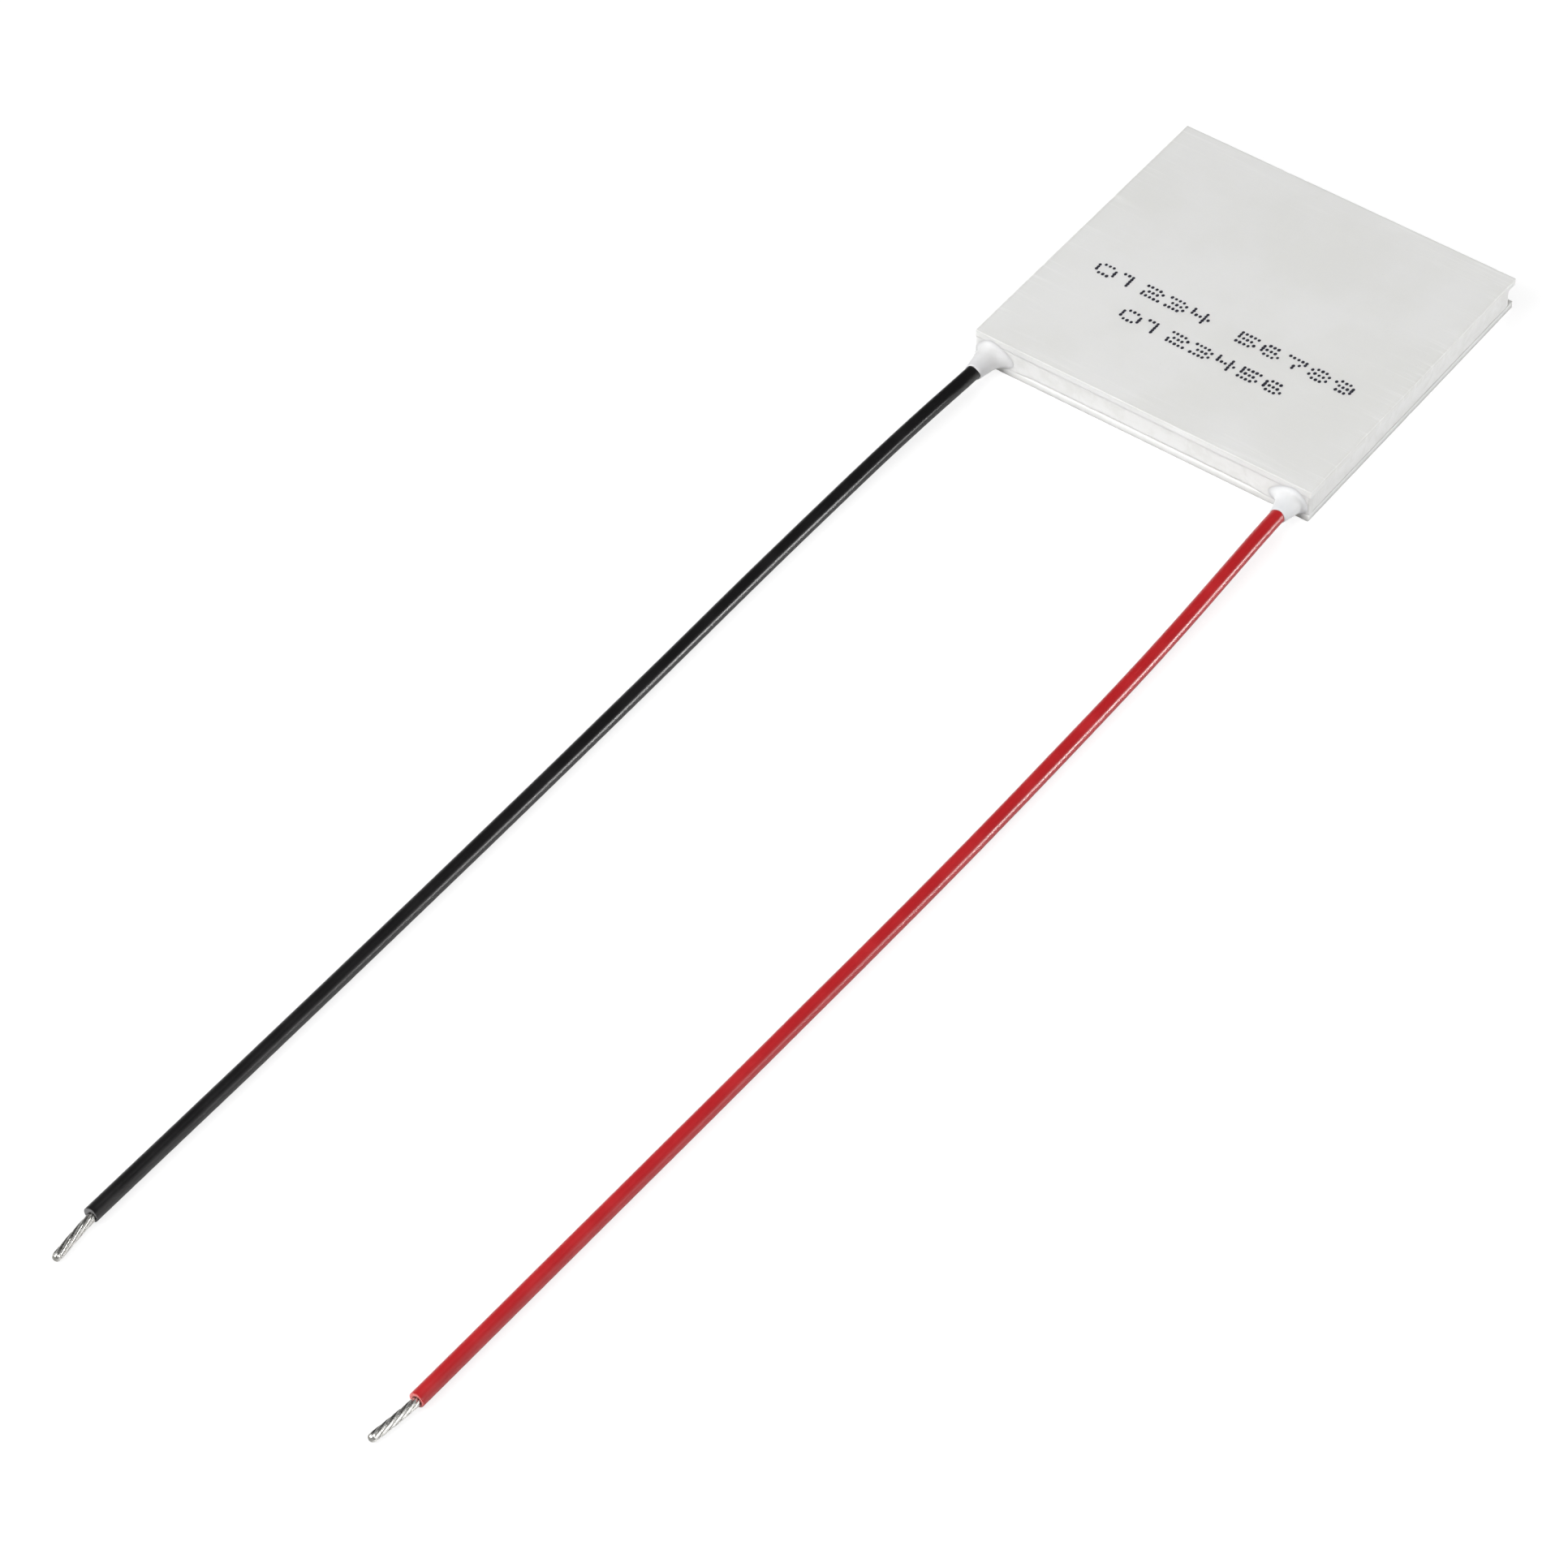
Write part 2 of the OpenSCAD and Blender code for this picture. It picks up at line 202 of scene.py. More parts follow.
@dataclass(frozen=True)
class FiredAlumina(Finish):
    """96% alumina, tape cast and fired, then cut with a saw: a dry white face that light sinks
    into.

    To the eye it is almost one tone, with a fine grain, slow clouding from the kiln and faint
    wiping marks that gather near the edges. Painted light is laid on it by share: a painted
    highlight along the top edge, and painted shade along the top edge and along the foot.
    """

    body: str = "#dededd"
    cloud: str = "#dadad8"
    wiped: str = "#e6e6e5"
    # Painted highlight, laid along a plate's top edge
    sawn: str = "#efefed"
    pit: str = "#cbcbc7"
    # Painted shade, laid along the foot and along the top edge
    grime: str = "#85867f"
    # How far light travels in the ceramic before it leaves
    scatter_mm: float = 0.35
    cloud_mm: float = 11.0
    # Wiping marks: their sizes across and along the wiping, and how far it is turned
    mark_mm: Pair = (0.45, 9.0)
    mark_deg: float = -2.0
    # The real grain is about 0.005 mm; it is drawn coarser, so that it shows
    grain_mm: float = 0.22
    pit_mm: float = 1.1
    relief_mm: float = 0.004
    roughness: Pair = (0.5, 0.66)

    def dress(self, tree: Tree, shader: Node) -> None:
        """Cloud, wipe, pit and grain the ceramic. See Finish.dress for the arguments."""
        place = {"Vector": add(tree, "TexCoord").outputs["Object"]}
        cloud = add(tree, "TexNoise",
                    {"Scale": per_m(self.cloud_mm), "Detail": 3.0, "Roughness": 0.55}, place)
        grain = add(tree, "TexNoise",
                    {"Scale": per_m(self.grain_mm), "Detail": 4.0, "Roughness": 0.65}, place)
        across, along = (per_m(size) for size in self.mark_mm)
        turned = add(tree, "Mapping", {"Rotation": (0.0, 0.0, math.radians(self.mark_deg)),
                                       "Scale": (along, across, along)}, place)
        marks = add(tree, "TexNoise",
                    {"Scale": 1.0, "Detail": 5.0, "Roughness": 0.6, "Distortion": 0.6},
                    {"Vector": turned})
        marked = add(tree, "MapRange", {"From Min": 0.5, "From Max": 0.72, "To Max": 0.9},
                     {"Value": marks}, **SMOOTH)
        near, rim, foot = (add(tree, "Attribute", attribute_name=name).outputs["Fac"]
                           for name in ("near", "rim", "foot"))
        by_edge = add(tree, "MapRange", {"To Min": 0.06}, {"Value": near})
        rubbed = add(tree, "Math", None, {0: marked, 1: by_edge}, operation="MULTIPLY")
        cells = add(tree, "TexVoronoi", {"Scale": per_m(self.pit_mm)}, place, feature="F1")
        pits = add(tree, "MapRange",
                   {"From Min": 0.03, "From Max": 0.075, "To Min": 0.6, "To Max": 0.0},
                   {"Value": cells}, **SMOOTH)
        # Only the few cells whose random red is high keep their pit
        number = add(tree, "SeparateColor", None, {0: cells.outputs["Color"]})
        chosen = add(tree, "MapRange", {"From Min": 0.8, "From Max": 0.86}, {"Value": number})
        few_pits = add(tree, "Math", None, {0: pits, 1: chosen}, operation="MULTIPLY")
        clouds = add(tree, "MapRange", {"From Min": 0.35, "From Max": 0.68},
                     {"Value": cloud}, **SMOOTH)
        tone = add(tree, "Mix", {UNDER: linear(self.body), OVER: linear(self.cloud)},
                   {SHARE: clouds}, **COLOURS)
        # The edge light share is a painted highlight, and the foot share is painted shade
        for colour, share in ((self.wiped, rubbed), (self.pit, few_pits), (self.sawn, rim),
                              (self.grime, foot)):
            tone = add(tree, "Mix", {OVER: linear(colour)}, {SHARE: share, UNDER: tone}, **COLOURS)
        speck = add(tree, "MapRange", {"To Min": 0.98, "To Max": 1.015}, {"Value": grain})
        specked = add(tree, "Mix", {SHARE: 1.0}, {UNDER: tone, OVER: speck},
                      blend_type="MULTIPLY", **COLOURS)
        rough = add(tree, "MapRange",
                    {"To Min": self.roughness[0], "To Max": self.roughness[1]}, {"Value": marks})
        grained = add(tree, "Bump", {"Strength": 0.35, "Distance": self.relief_mm * MM},
                      {"Height": grain})
        relief = add(tree, "Bump", {"Strength": 0.2, "Distance": self.relief_mm * MM},
                     {"Height": marks, "Normal": grained})
        wire(tree, shader,
             {"Subsurface Weight": 1.0, "Subsurface Scale": self.scatter_mm * MM,
              "Subsurface Radius": (1.0, 1.0, 0.96), "IOR": 1.6},
             {"Base Color": specked, "Roughness": rough, "Normal": relief})


@dataclass(frozen=True)
class CuredSilicone(Finish):
    """White silicone rubber, run in by hand and smoothed: a soft, slightly wet-looking skin.

    To the eye it has smeared ripples, dull and shiny patches, dust that stuck to it, and
    upright streaks where the tool was lifted.
    """

    body: str = "#e1e1e0"
    thin: str = "#dbdbd9"
    dust: str = "#cbcbc7"
    # What shows through where the skin over a lead is thin; at a cone's foot the same colour is
    # painted shade
    through: str = "#cacacd"
    scatter_mm: float = 0.4
    smear_mm: float = 1.6
    # The tool's fine lines, across and along its run
    ripple_mm: Pair = (0.13, 3.5)
    dust_mm: float = 0.9
    streak_mm: Pair = (0.22, 3.0)

    def dress(self, tree: Tree, shader: Node) -> None:
        """Smear, ripple and dust the rubber. See Finish.dress for the arguments."""
        place = {"Vector": add(tree, "TexCoord").outputs["Object"]}
        smear = add(tree, "TexNoise",
                    {"Scale": per_m(self.smear_mm), "Detail": 3.0, "Distortion": 0.8}, place)
        level = add(tree, "Mapping", {"Scale": stretched(*self.ripple_mm[::-1])}, place)
        ripple = add(tree, "TexNoise", {"Scale": 1.0, "Detail": 3.0, "Roughness": 0.6},
                     {"Vector": level})
        upright = add(tree, "Mapping", {"Scale": stretched(*self.streak_mm)}, place)
        streaks = add(tree, "TexNoise", {"Scale": 1.0, "Detail": 2.0}, {"Vector": upright})
        lifted, skin = (add(tree, "Attribute", attribute_name=name).outputs["Fac"]
                        for name in ("streak", "thin"))
        drawn = add(tree, "Math", None, {0: streaks, 1: lifted}, operation="MULTIPLY")
        specks = add(tree, "TexVoronoi", {"Scale": per_m(self.dust_mm)}, place, feature="F1")
        dusted = add(tree, "MapRange",
                     {"From Min": 0.02, "From Max": 0.06, "To Min": 0.45, "To Max": 0.0},
                     {"Value": specks}, **SMOOTH)
        patch = add(tree, "MapRange", {"From Min": 0.4, "From Max": 0.7},
                    {"Value": smear}, **SMOOTH)
        tone = add(tree, "Mix", {UNDER: linear(self.body), OVER: linear(self.thin)},
                   {SHARE: patch}, **COLOURS)
        # The thin share is the lead showing through at a cone's lip, and painted shade at its foot
        for colour, share in ((self.dust, dusted), (self.through, skin)):
            tone = add(tree, "Mix", {OVER: linear(colour)}, {SHARE: share, UNDER: tone}, **COLOURS)
        shade = add(tree, "MapRange", {"To Min": 1.0, "To Max": 0.8}, {"Value": drawn})
        streaked = add(tree, "Mix", {SHARE: 1.0}, {UNDER: tone, OVER: shade},
                       blend_type="MULTIPLY", **COLOURS)
        rough = add(tree, "MapRange", {"To Min": 0.36, "To Max": 0.58}, {"Value": smear})
        coarse = add(tree, "Bump", {"Strength": 0.5, "Distance": 0.025 * MM}, {"Height": smear})
        fine = add(tree, "Bump", {"Strength": 0.4, "Distance": 0.006 * MM},
                   {"Height": ripple, "Normal": coarse})
        relief = add(tree, "Bump", {"Strength": 0.6, "Distance": 0.04 * MM},
                     {"Height": drawn, "Normal": fine})
        wire(tree, shader,
             {"Subsurface Weight": 1.0, "Subsurface Scale": self.scatter_mm * MM,
              "Subsurface Radius": (1.0, 1.0, 1.0), "IOR": 1.41},
             {"Base Color": streaked, "Roughness": rough, "Normal": relief})


@dataclass(frozen=True)
class ExtrudedPvc(Finish):
    """Flexible PVC, extruded over the strands: smooth, half glossy, with fine die lines.

    To the eye the lines run along the lead, the gloss is soft and broken by handling, and
    the strands print through as a slow ripple. Where the stripper pulled it, it is whiter.
    """

    body: str = "#0c0b0c"
    worn: str = "#131213"
    scuff: str = "#2a292a"
    cut: str = "#626163"
    # Die lines across and along the lead, and the patches and scuffs that handling leaves
    line_mm: Pair = (0.16, 26.0)
    patch_mm: float = 4.5
    scuff_mm: Pair = (0.35, 1.6)
    roughness: Pair = (0.27, 0.38)

    def dress(self, tree: Tree, shader: Node) -> None:
        """Draw die lines, patches and scuffs. See Finish.dress for the arguments."""
        place = {"Vector": add(tree, "Attribute", attribute_name=STRAIGHT).outputs["Vector"]}
        drawn = add(tree, "Mapping", {"Scale": stretched(*self.line_mm)}, place)
        lines = add(tree, "TexNoise", {"Scale": 1.0, "Detail": 2.0}, {"Vector": drawn})
        patches = add(tree, "TexNoise", {"Scale": per_m(self.patch_mm), "Detail": 3.0}, place)
        rubbed = add(tree, "Mapping", {"Scale": stretched(*self.scuff_mm)}, place)
        scuffs = add(tree, "TexNoise",
                     {"Scale": 1.0, "Detail": 4.0, "Roughness": 0.7, "Distortion": 0.5},
                     {"Vector": rubbed})
        worn = add(tree, "MapRange", {"From Min": 0.42, "From Max": 0.7},
                   {"Value": patches}, **SMOOTH)
        marked = add(tree, "MapRange", {"From Min": 0.66, "From Max": 0.78, "To Max": 0.6},
                     {"Value": scuffs}, **SMOOTH)
        whitened = add(tree, "Attribute", attribute_name="cut").outputs["Fac"]
        tone = add(tree, "Mix", {UNDER: linear(self.body), OVER: linear(self.worn)},
                   {SHARE: worn}, **COLOURS)
        for colour, share in ((self.scuff, marked), (self.cut, whitened)):
            tone = add(tree, "Mix", {OVER: linear(colour)}, {SHARE: share, UNDER: tone}, **COLOURS)
        rough = add(tree, "MapRange",
                    {"To Min": self.roughness[0], "To Max": self.roughness[1]}, {"Value": patches})
        lined = add(tree, "Bump", {"Strength": 0.35, "Distance": 0.006 * MM}, {"Height": lines})
        relief = add(tree, "Bump", {"Strength": 0.4, "Distance": 0.01 * MM},
                     {"Height": scuffs, "Normal": lined})
        wire(tree, shader, {"IOR": 1.53},
             {"Base Color": tone, "Roughness": rough, "Normal": relief})


@dataclass(frozen=True)
class DippedTin(Finish):
    """Copper strands, twisted and dipped in tin solder: bright metal, with painted shade in the
    grooves.

    To the eye the crowns of the strands mirror the room. Painted shade darkens the grooves between
    them, the strands in the sleeve and the point.
    """

    crown: str = "#f6f5f1"
    # Painted shade for the grooves, the strands in the sleeve and the point
    groove: str = "#66655f"
    dull: str = "#c3c2bb"
    lump_mm: float = 0.45
    frost_mm: float = 0.12

    def dress(self, tree: Tree, shader: Node) -> None:
        """Darken the grooves and lump the solder. See Finish.dress for the arguments."""
        place = {"Vector": add(tree, "Attribute", attribute_name=STRAIGHT).outputs["Vector"]}
        depth = add(tree, "Attribute", attribute_name="groove").outputs["Fac"]
        lumps = add(tree, "TexNoise", {"Scale": per_m(self.lump_mm), "Detail": 2.0}, place)
        frost = add(tree, "TexNoise", {"Scale": per_m(self.frost_mm), "Detail": 3.0}, place)
        dulled = add(tree, "MapRange", {"From Min": 0.5, "From Max": 0.75},
                     {"Value": lumps}, **SMOOTH)
        tone = add(tree, "Mix", {UNDER: linear(self.crown), OVER: linear(self.dull)},
                   {SHARE: dulled}, **COLOURS)
        shaded = add(tree, "Mix", {OVER: linear(self.groove)}, {SHARE: depth, UNDER: tone},
                     **COLOURS)
        rough = add(tree, "MapRange",
                    {"From Min": 0.3, "From Max": 0.7, "To Min": 0.24, "To Max": 0.34},
                    {"Value": frost})
        relief = add(tree, "Bump", {"Strength": 0.15, "Distance": 0.002 * MM}, {"Height": lumps})
        wire(tree, shader, {"Metallic": 1.0},
             {"Base Color": shaded, "Roughness": rough, "Normal": relief})


@dataclass(frozen=True)
class MarkingInk(Finish):
    """Ink thrown as drops on the ceramic: matt, violet black, thinner at some dots."""

    full: str = "#1e1c28"
    thin: str = "#393742"
    patch_mm: float = 0.3

    def dress(self, tree: Tree, shader: Node) -> None:
        """Vary the ink's strength. See Finish.dress for the arguments."""
        place = {"Vector": add(tree, "TexCoord").outputs["Object"]}
        patches = add(tree, "TexNoise", {"Scale": per_m(self.patch_mm), "Detail": 3.0}, place)
        share = add(tree, "MapRange", {"From Min": 0.45, "From Max": 0.7},
                    {"Value": patches}, **SMOOTH)
        tone = add(tree, "Mix", {UNDER: linear(self.full), OVER: linear(self.thin)},
                   {SHARE: share}, **COLOURS)
        relief = add(tree, "Bump", {"Strength": 0.3, "Distance": 0.003 * MM}, {"Height": patches})
        wire(tree, shader, {"Roughness": 0.62, "IOR": 1.5}, {"Base Color": tone, "Normal": relief})


@dataclass(frozen=True)
class InnerMetal(Finish):
    """A metal inside the module, such as rolled copper or soft solder.

    To the eye it has grain in its tone and gloss, of the size of its rolling marks or its
    frozen solder.
    """

    bright: str = "#c98560"
    dull: str = "#9c5c3c"
    grain_mm: float = 0.3
    stretch: float = 6.0
    roughness: Pair = (0.28, 0.45)

    def dress(self, tree: Tree, shader: Node) -> None:
        """Grain the metal's tone, gloss and relief. See Finish.dress for the arguments."""
        place = {"Vector": add(tree, "TexCoord").outputs["Object"]}
        fine = per_m(self.grain_mm)
        rolled = add(tree, "Mapping", {"Scale": (fine, fine / self.stretch, fine)}, place)
        grain = add(tree, "TexNoise", {"Scale": 1.0, "Detail": 4.0, "Roughness": 0.6},
                    {"Vector": rolled})
        tone = add(tree, "Mix", {UNDER: linear(self.bright), OVER: linear(self.dull)},
                   {SHARE: grain}, **COLOURS)
        rough = add(tree, "MapRange",
                    {"To Min": self.roughness[0], "To Max": self.roughness[1]}, {"Value": grain})
        relief = add(tree, "Bump", {"Strength": 0.4, "Distance": 0.01 * MM}, {"Height": grain})
        wire(tree, shader, {"Metallic": 1.0},
             {"Base Color": tone, "Roughness": rough, "Normal": relief})


@dataclass(frozen=True)
class DicedTelluride(InnerMetal):
    """Bismuth telluride, sintered and diced: a dark, silvery semiconductor that flakes."""

    bright: str = "#8b9098"
    dull: str = "#565b62"
    grain_mm: float = 0.25
    stretch: float = 1.0
    roughness: Pair = (0.35, 0.6)


@dataclass(frozen=True)
class PaleFloor(Finish):
    """A white acrylic table: it keeps the shadows, and mirrors low lights a little.

    It shows as white to the camera, and dimmer to gloss.
    """

    # Its own white, which lights the part from below, and the white its shadows fall on
    body: str = "#dfdfdf"
    seen: str = "#7f7f7f"
    glow: float = 0.83
    glow_in_gloss: float = 0.1
    roughness: float = 0.2

    def dress(self, tree: Tree, shader: Node) -> None:
        """Add the glow for what is seen, and clear the floor from below. See Finish.dress."""
        rays = add(tree, "LightPath").outputs
        white = add(tree, "Mix", {UNDER: linear(self.body), OVER: linear(self.seen)},
                    {SHARE: rays["Is Camera Ray"]}, **COLOURS)
        behind = add(tree, "Math", None,
                     {0: rays["Is Glossy Ray"], 1: rays["Is Transmission Ray"]},
                     operation="MAXIMUM")
        mirrored = add(tree, "Math", {1: self.glow_in_gloss}, {0: behind}, operation="MULTIPLY")
        direct = add(tree, "Math", {1: self.glow}, {0: rays["Is Camera Ray"]},
                     operation="MULTIPLY")
        glow = add(tree, "Math", None, {0: direct, 1: mirrored}, operation="MAXIMUM")
        wire(tree, shader,
             {"Roughness": self.roughness, "Emission Color": (1.0, 1.0, 1.0, 1.0)},
             {"Base Color": white, "Emission Strength": glow})
        below = add(tree, "NewGeometry").outputs["Backfacing"]
        either = add(tree, "MixShader", None,
                     {0: below, 1: shader, 2: add(tree, "BsdfTransparent")})
        output = next(n for n in tree.nodes if n.bl_idname == "ShaderNodeOutputMaterial")
        wire(tree, output, None, {"Surface": either})


ALUMINA = FiredAlumina("fired_alumina_sawn")
SILICONE = CuredSilicone("white_silicone_smoothed")
SILICONE_ON_BLACK = CuredSilicone("white_silicone_over_black")
SILICONE_ON_RED = CuredSilicone("white_silicone_over_red", through="#d0d2d6")
BLACK_PVC = ExtrudedPvc("black_pvc_extruded")
RED_PVC = ExtrudedPvc("red_pvc_extruded", "#ab1c21", "#b32327", "#c25250", "#da7a76")
TIN = DippedTin("tin_dipped_strands")
INK = MarkingInk("violet_black_marking_ink")
COPPER = InnerMetal("copper_rolled")
SOLDER = InnerMetal("tin_solder_reflowed", "#d2d3d3", "#a6a8a9", 0.2, 1.0, (0.2, 0.4))
CONDUCTOR = InnerMetal("tinned_conductor_stranded", "#dedcd6", "#9d9b94", 0.18, 12.0,
                       (0.22, 0.4))
P_TYPE = DicedTelluride("p_type_telluride_diced", "#797d84", "#484c52")
N_TYPE = DicedTelluride("n_type_telluride_diced")


# ---- Surfaces ----


def surface(
    name: str,
    points: np.ndarray,
    finish: Finish,
    ring_rows: bool = False,
    fields: dict[str, np.ndarray] | None = None,
    sharp_deg: float = 50.0,
) -> Piece:
    """Make a closed mesh object from a grid of points.

    Neighbouring points of the grid make a quad, and the last column joins the first. The
    rows either join the same way, so that the surface is a ring, or each end row closes
    on one vertex at its mean. The faces are turned so that the solid's volume is positive:
    the sum over its triangles of (a x b) . c / 6.

    Args:
        name: the object's name.
        points: the grid, as rows x columns x 3, in metres.
        finish: what the surface is dressed in.
        ring_rows: whether the last row joins the first.
        fields: values at the grid's points, as rows x columns or rows x columns x 3.
        sharp_deg: edges with a sharper fold than this are kept sharp.

    Returns:
        The object, at the origin.
    """
    rows, columns = points.shape[:2]
    index = np.arange(rows * columns).reshape(rows, columns)
    if ring_rows:
        index = np.vstack([index, index[:1]])
    beside = np.roll(index, -1, axis=1)
    quads = np.stack([index[:-1], index[1:], beside[1:], beside[:-1]], axis=-1).reshape(-1, 4)
    vertices = points.reshape(-1, 3)
    triangles = np.empty((0, 3), int)
    if not ring_rows:
        vertices = np.vstack([vertices, points[0].mean(0), points[-1].mean(0)])
        first, last = (np.full(columns, rows * columns + k) for k in (0, 1))
        triangles = np.vstack([np.stack([first, index[0], beside[0]], -1),
                               np.stack([last, beside[-1], index[-1]], -1)])
    cut = np.vstack([quads[:, [0, 1, 2]], quads[:, [0, 2, 3]], triangles])
    a, b, c = (vertices[cut[:, k]] for k in range(3))
    if np.einsum("ij,ij->i", np.cross(a, b), c).sum() < 0:
        quads, triangles = quads[:, ::-1], triangles[:, ::-1]
    faces = quads.tolist() + triangles.tolist()
    return mesh_object(name, vertices, faces, finish, spread(fields, points), sharp_deg)


def spread(fields: dict[str, np.ndarray] | None, points: np.ndarray) -> dict[str, np.ndarray]:
    """Flatten a grid's fields to its vertices, with the means of the end rows for its poles.

    Args:
        fields: values at the grid's points.
        points: the grid that they belong to.

    Returns:
        The same fields, one row a vertex; the poles' rows are used only where there are poles.
    """
    flat = {}
    for key, value in (fields or {}).items():
        value = np.asarray(value, float)
        ends = (value[row].mean(0)[None] for row in (0, -1))
        flat[key] = np.concatenate([value.reshape((-1,) + value.shape[2:]), *ends])
    return flat


def mesh_object(
    name: str,
    vertices: np.ndarray,
    faces: list[list[int]],
    finish: Finish,
    fields: dict[str, np.ndarray],
    sharp_deg: float,
) -> Piece:
    """Make a smooth-shaded mesh object with attributes and a finish.

    Args:
        name: the object's name.
        vertices: its vertices in metres.
        faces: its faces as lists of vertex numbers.
        finish: what it is dressed in.
        fields: one value or one vector a vertex, by attribute name.
        sharp_deg: edges with a sharper fold than this are kept sharp.

    Returns:
        The object, linked to the scene, at the origin.
    """
    mesh = bpy.data.meshes.new(name)
    mesh.from_pydata(vertices.tolist(), [], faces)
    mesh.polygons.foreach_set("use_smooth", np.ones(len(mesh.polygons), bool))
    mesh.set_sharp_from_angle(angle=math.radians(sharp_deg))
    for key, value in fields.items():
        value = value[: len(vertices)]
        kind, slot = ("FLOAT_VECTOR", "vector") if value.ndim == 2 else ("FLOAT", "value")
        data = mesh.attributes.new(key, kind, "POINT").data
        data.foreach_set(slot, value.astype(np.float32).ravel())
    mesh.update()
    piece = bpy.data.objects.new(name, mesh)
    bpy.context.scene.collection.objects.link(piece)
    finish.put_on(piece)
    return piece


def stand_in(piece: Piece, node: str) -> None:
    """Fix a piece to the module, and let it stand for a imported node.

    Args:
        piece: the piece.
        node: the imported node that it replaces.
    """
    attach(piece, "root")
    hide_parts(node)
    LOG.info("%s stands for %s", piece.name, node)


def smooth_route(points: np.ndarray, between: int) -> np.ndarray:
    """Put a smooth curve through a route's points.

    Each stretch is the Catmull-Rom cubic of its two ends and their two neighbours, and the
    route is carried on straight by one point at either end to give the last two of those.

    Args:
        points: the route's points, as n x 3.
        between: how many new points each stretch gets.

    Returns:
        The finer route, which starts and ends on the same points.
    """
    padded = np.vstack([2 * points[0] - points[1], points, 2 * points[-1] - points[-2]])
    place = np.linspace(0, len(points) - 1, (len(points) - 1) * between + 1)
    start = np.minimum(place.astype(int), len(points) - 2)
    u = (place - start)[:, None]
    p0, p1, p2, p3 = (padded[start + k] for k in range(4))
    return 0.5 * (2 * p1 + (p2 - p0) * u + (2 * p0 - 5 * p1 + 4 * p2 - p3) * u**2
                  + (3 * p1 - 3 * p2 + p3 - p0) * u**3)


def unit(vectors: np.ndarray) -> np.ndarray:
    """Give vectors the length 1, along their last axis."""
    return vectors / np.linalg.norm(vectors, axis=-1, keepdims=True)


@dataclass
class Sweep:
    """Rings round a line: each ring's centre, its two axes and how far along it is."""

    centres: np.ndarray
    right: np.ndarray
    up: np.ndarray
    along: np.ndarray

    @classmethod
    def on(cls, line: np.ndarray) -> "Sweep":
        """Set rings square to a line.

        The right axis is the direction x Z, and the up axis is right x direction.

        Args:
            line: the line's points, as n x 3.

        Returns:
            One ring for each point.
        """
        ahead = unit(np.gradient(line, axis=0))
        right = unit(np.cross(ahead, [0.0, 0.0, 1.0]))
        steps = np.linalg.norm(np.diff(line, axis=0), axis=1)
        return cls(line, right, np.cross(right, ahead), np.concatenate([[0.0], np.cumsum(steps)]))

    def ahead(self) -> np.ndarray:
        """Return each ring's direction, up x right."""
        return np.cross(self.up, self.right)

    def with_steps(self, advance: np.ndarray, sideways: np.ndarray, upward: np.ndarray) -> "Sweep":
        """Add rings that step on from the last one and keep its axes.

        Args:
            advance: how far each new ring is ahead of the last ring.
            sideways: how far each is to that ring's right.
            upward: how far each is up.

        Returns:
            A sweep with the new rings at its end.
        """
        right, up, ahead = self.right[-1], self.up[-1], self.ahead()[-1]
        more = (self.centres[-1] + np.outer(advance, ahead) + np.outer(sideways, right)
                + np.outer(upward, up))
        rights, ups = (np.vstack([axes, np.tile(axes[-1], (len(advance), 1))])
                       for axes in (self.right, self.up))
        return Sweep(np.vstack([self.centres, more]), rights, ups,
                     np.concatenate([self.along, self.along[-1] + advance]))

    def skin(self, radius: np.ndarray, angle: np.ndarray) -> np.ndarray:
        """Place points round the rings: centre + radius (cos angle right + sin angle up).

        Args:
            radius: each point's radius, which can be rows x columns or rows x 1.
            angle: each point's angle, which can be rows x columns or 1 x columns.

        Returns:
            The points, as rows x columns x 3.
        """
        out = (np.cos(angle)[..., None] * self.right[:, None]
               + np.sin(angle)[..., None] * self.up[:, None])
        return self.centres[:, None] + radius[..., None] * out

    def straightened(self, radius: np.ndarray, angle: np.ndarray) -> np.ndarray:
        """Place the same points as if the line ran straight along Z. The arguments are skin's."""
        radius, angle = np.broadcast_arrays(radius, angle)
        along = np.broadcast_to(self.along[:, None], radius.shape)
        return np.stack([radius * np.cos(angle), radius * np.sin(angle), along], axis=-1)


# ---- Leads ----


def laid_route(sideways: tuple[float, ...], last: Pair) -> np.ndarray:
    """Put together a lead's route from the front edge to the end of its insulation.

    The points are those of the part's source. Both leads share their distances from the
    front edge, up to the last two, and their heights: 1 is the level of the exit, and 0 is
    where the lead lies on the table.

    Args:
        sideways: how far each point is towards +X from the exit, in millimetres.
        last: the distances of the last two points, in millimetres.

    Returns:
        Sideways place, distance and height of each point, as n x 3.
    """
    out = np.array([0, 2, 4, 7, 10, 14, 18, *np.arange(22, 135, 4.5), *last])
    sinking = (1, 1, 0.99, 0.93, 0.82, 0.63, 0.43, 0.25, 0.1, 0.02)
    height = np.pad(sinking, (0, len(out) - len(sinking)))
    return np.stack([sideways, out, height], axis=-1)


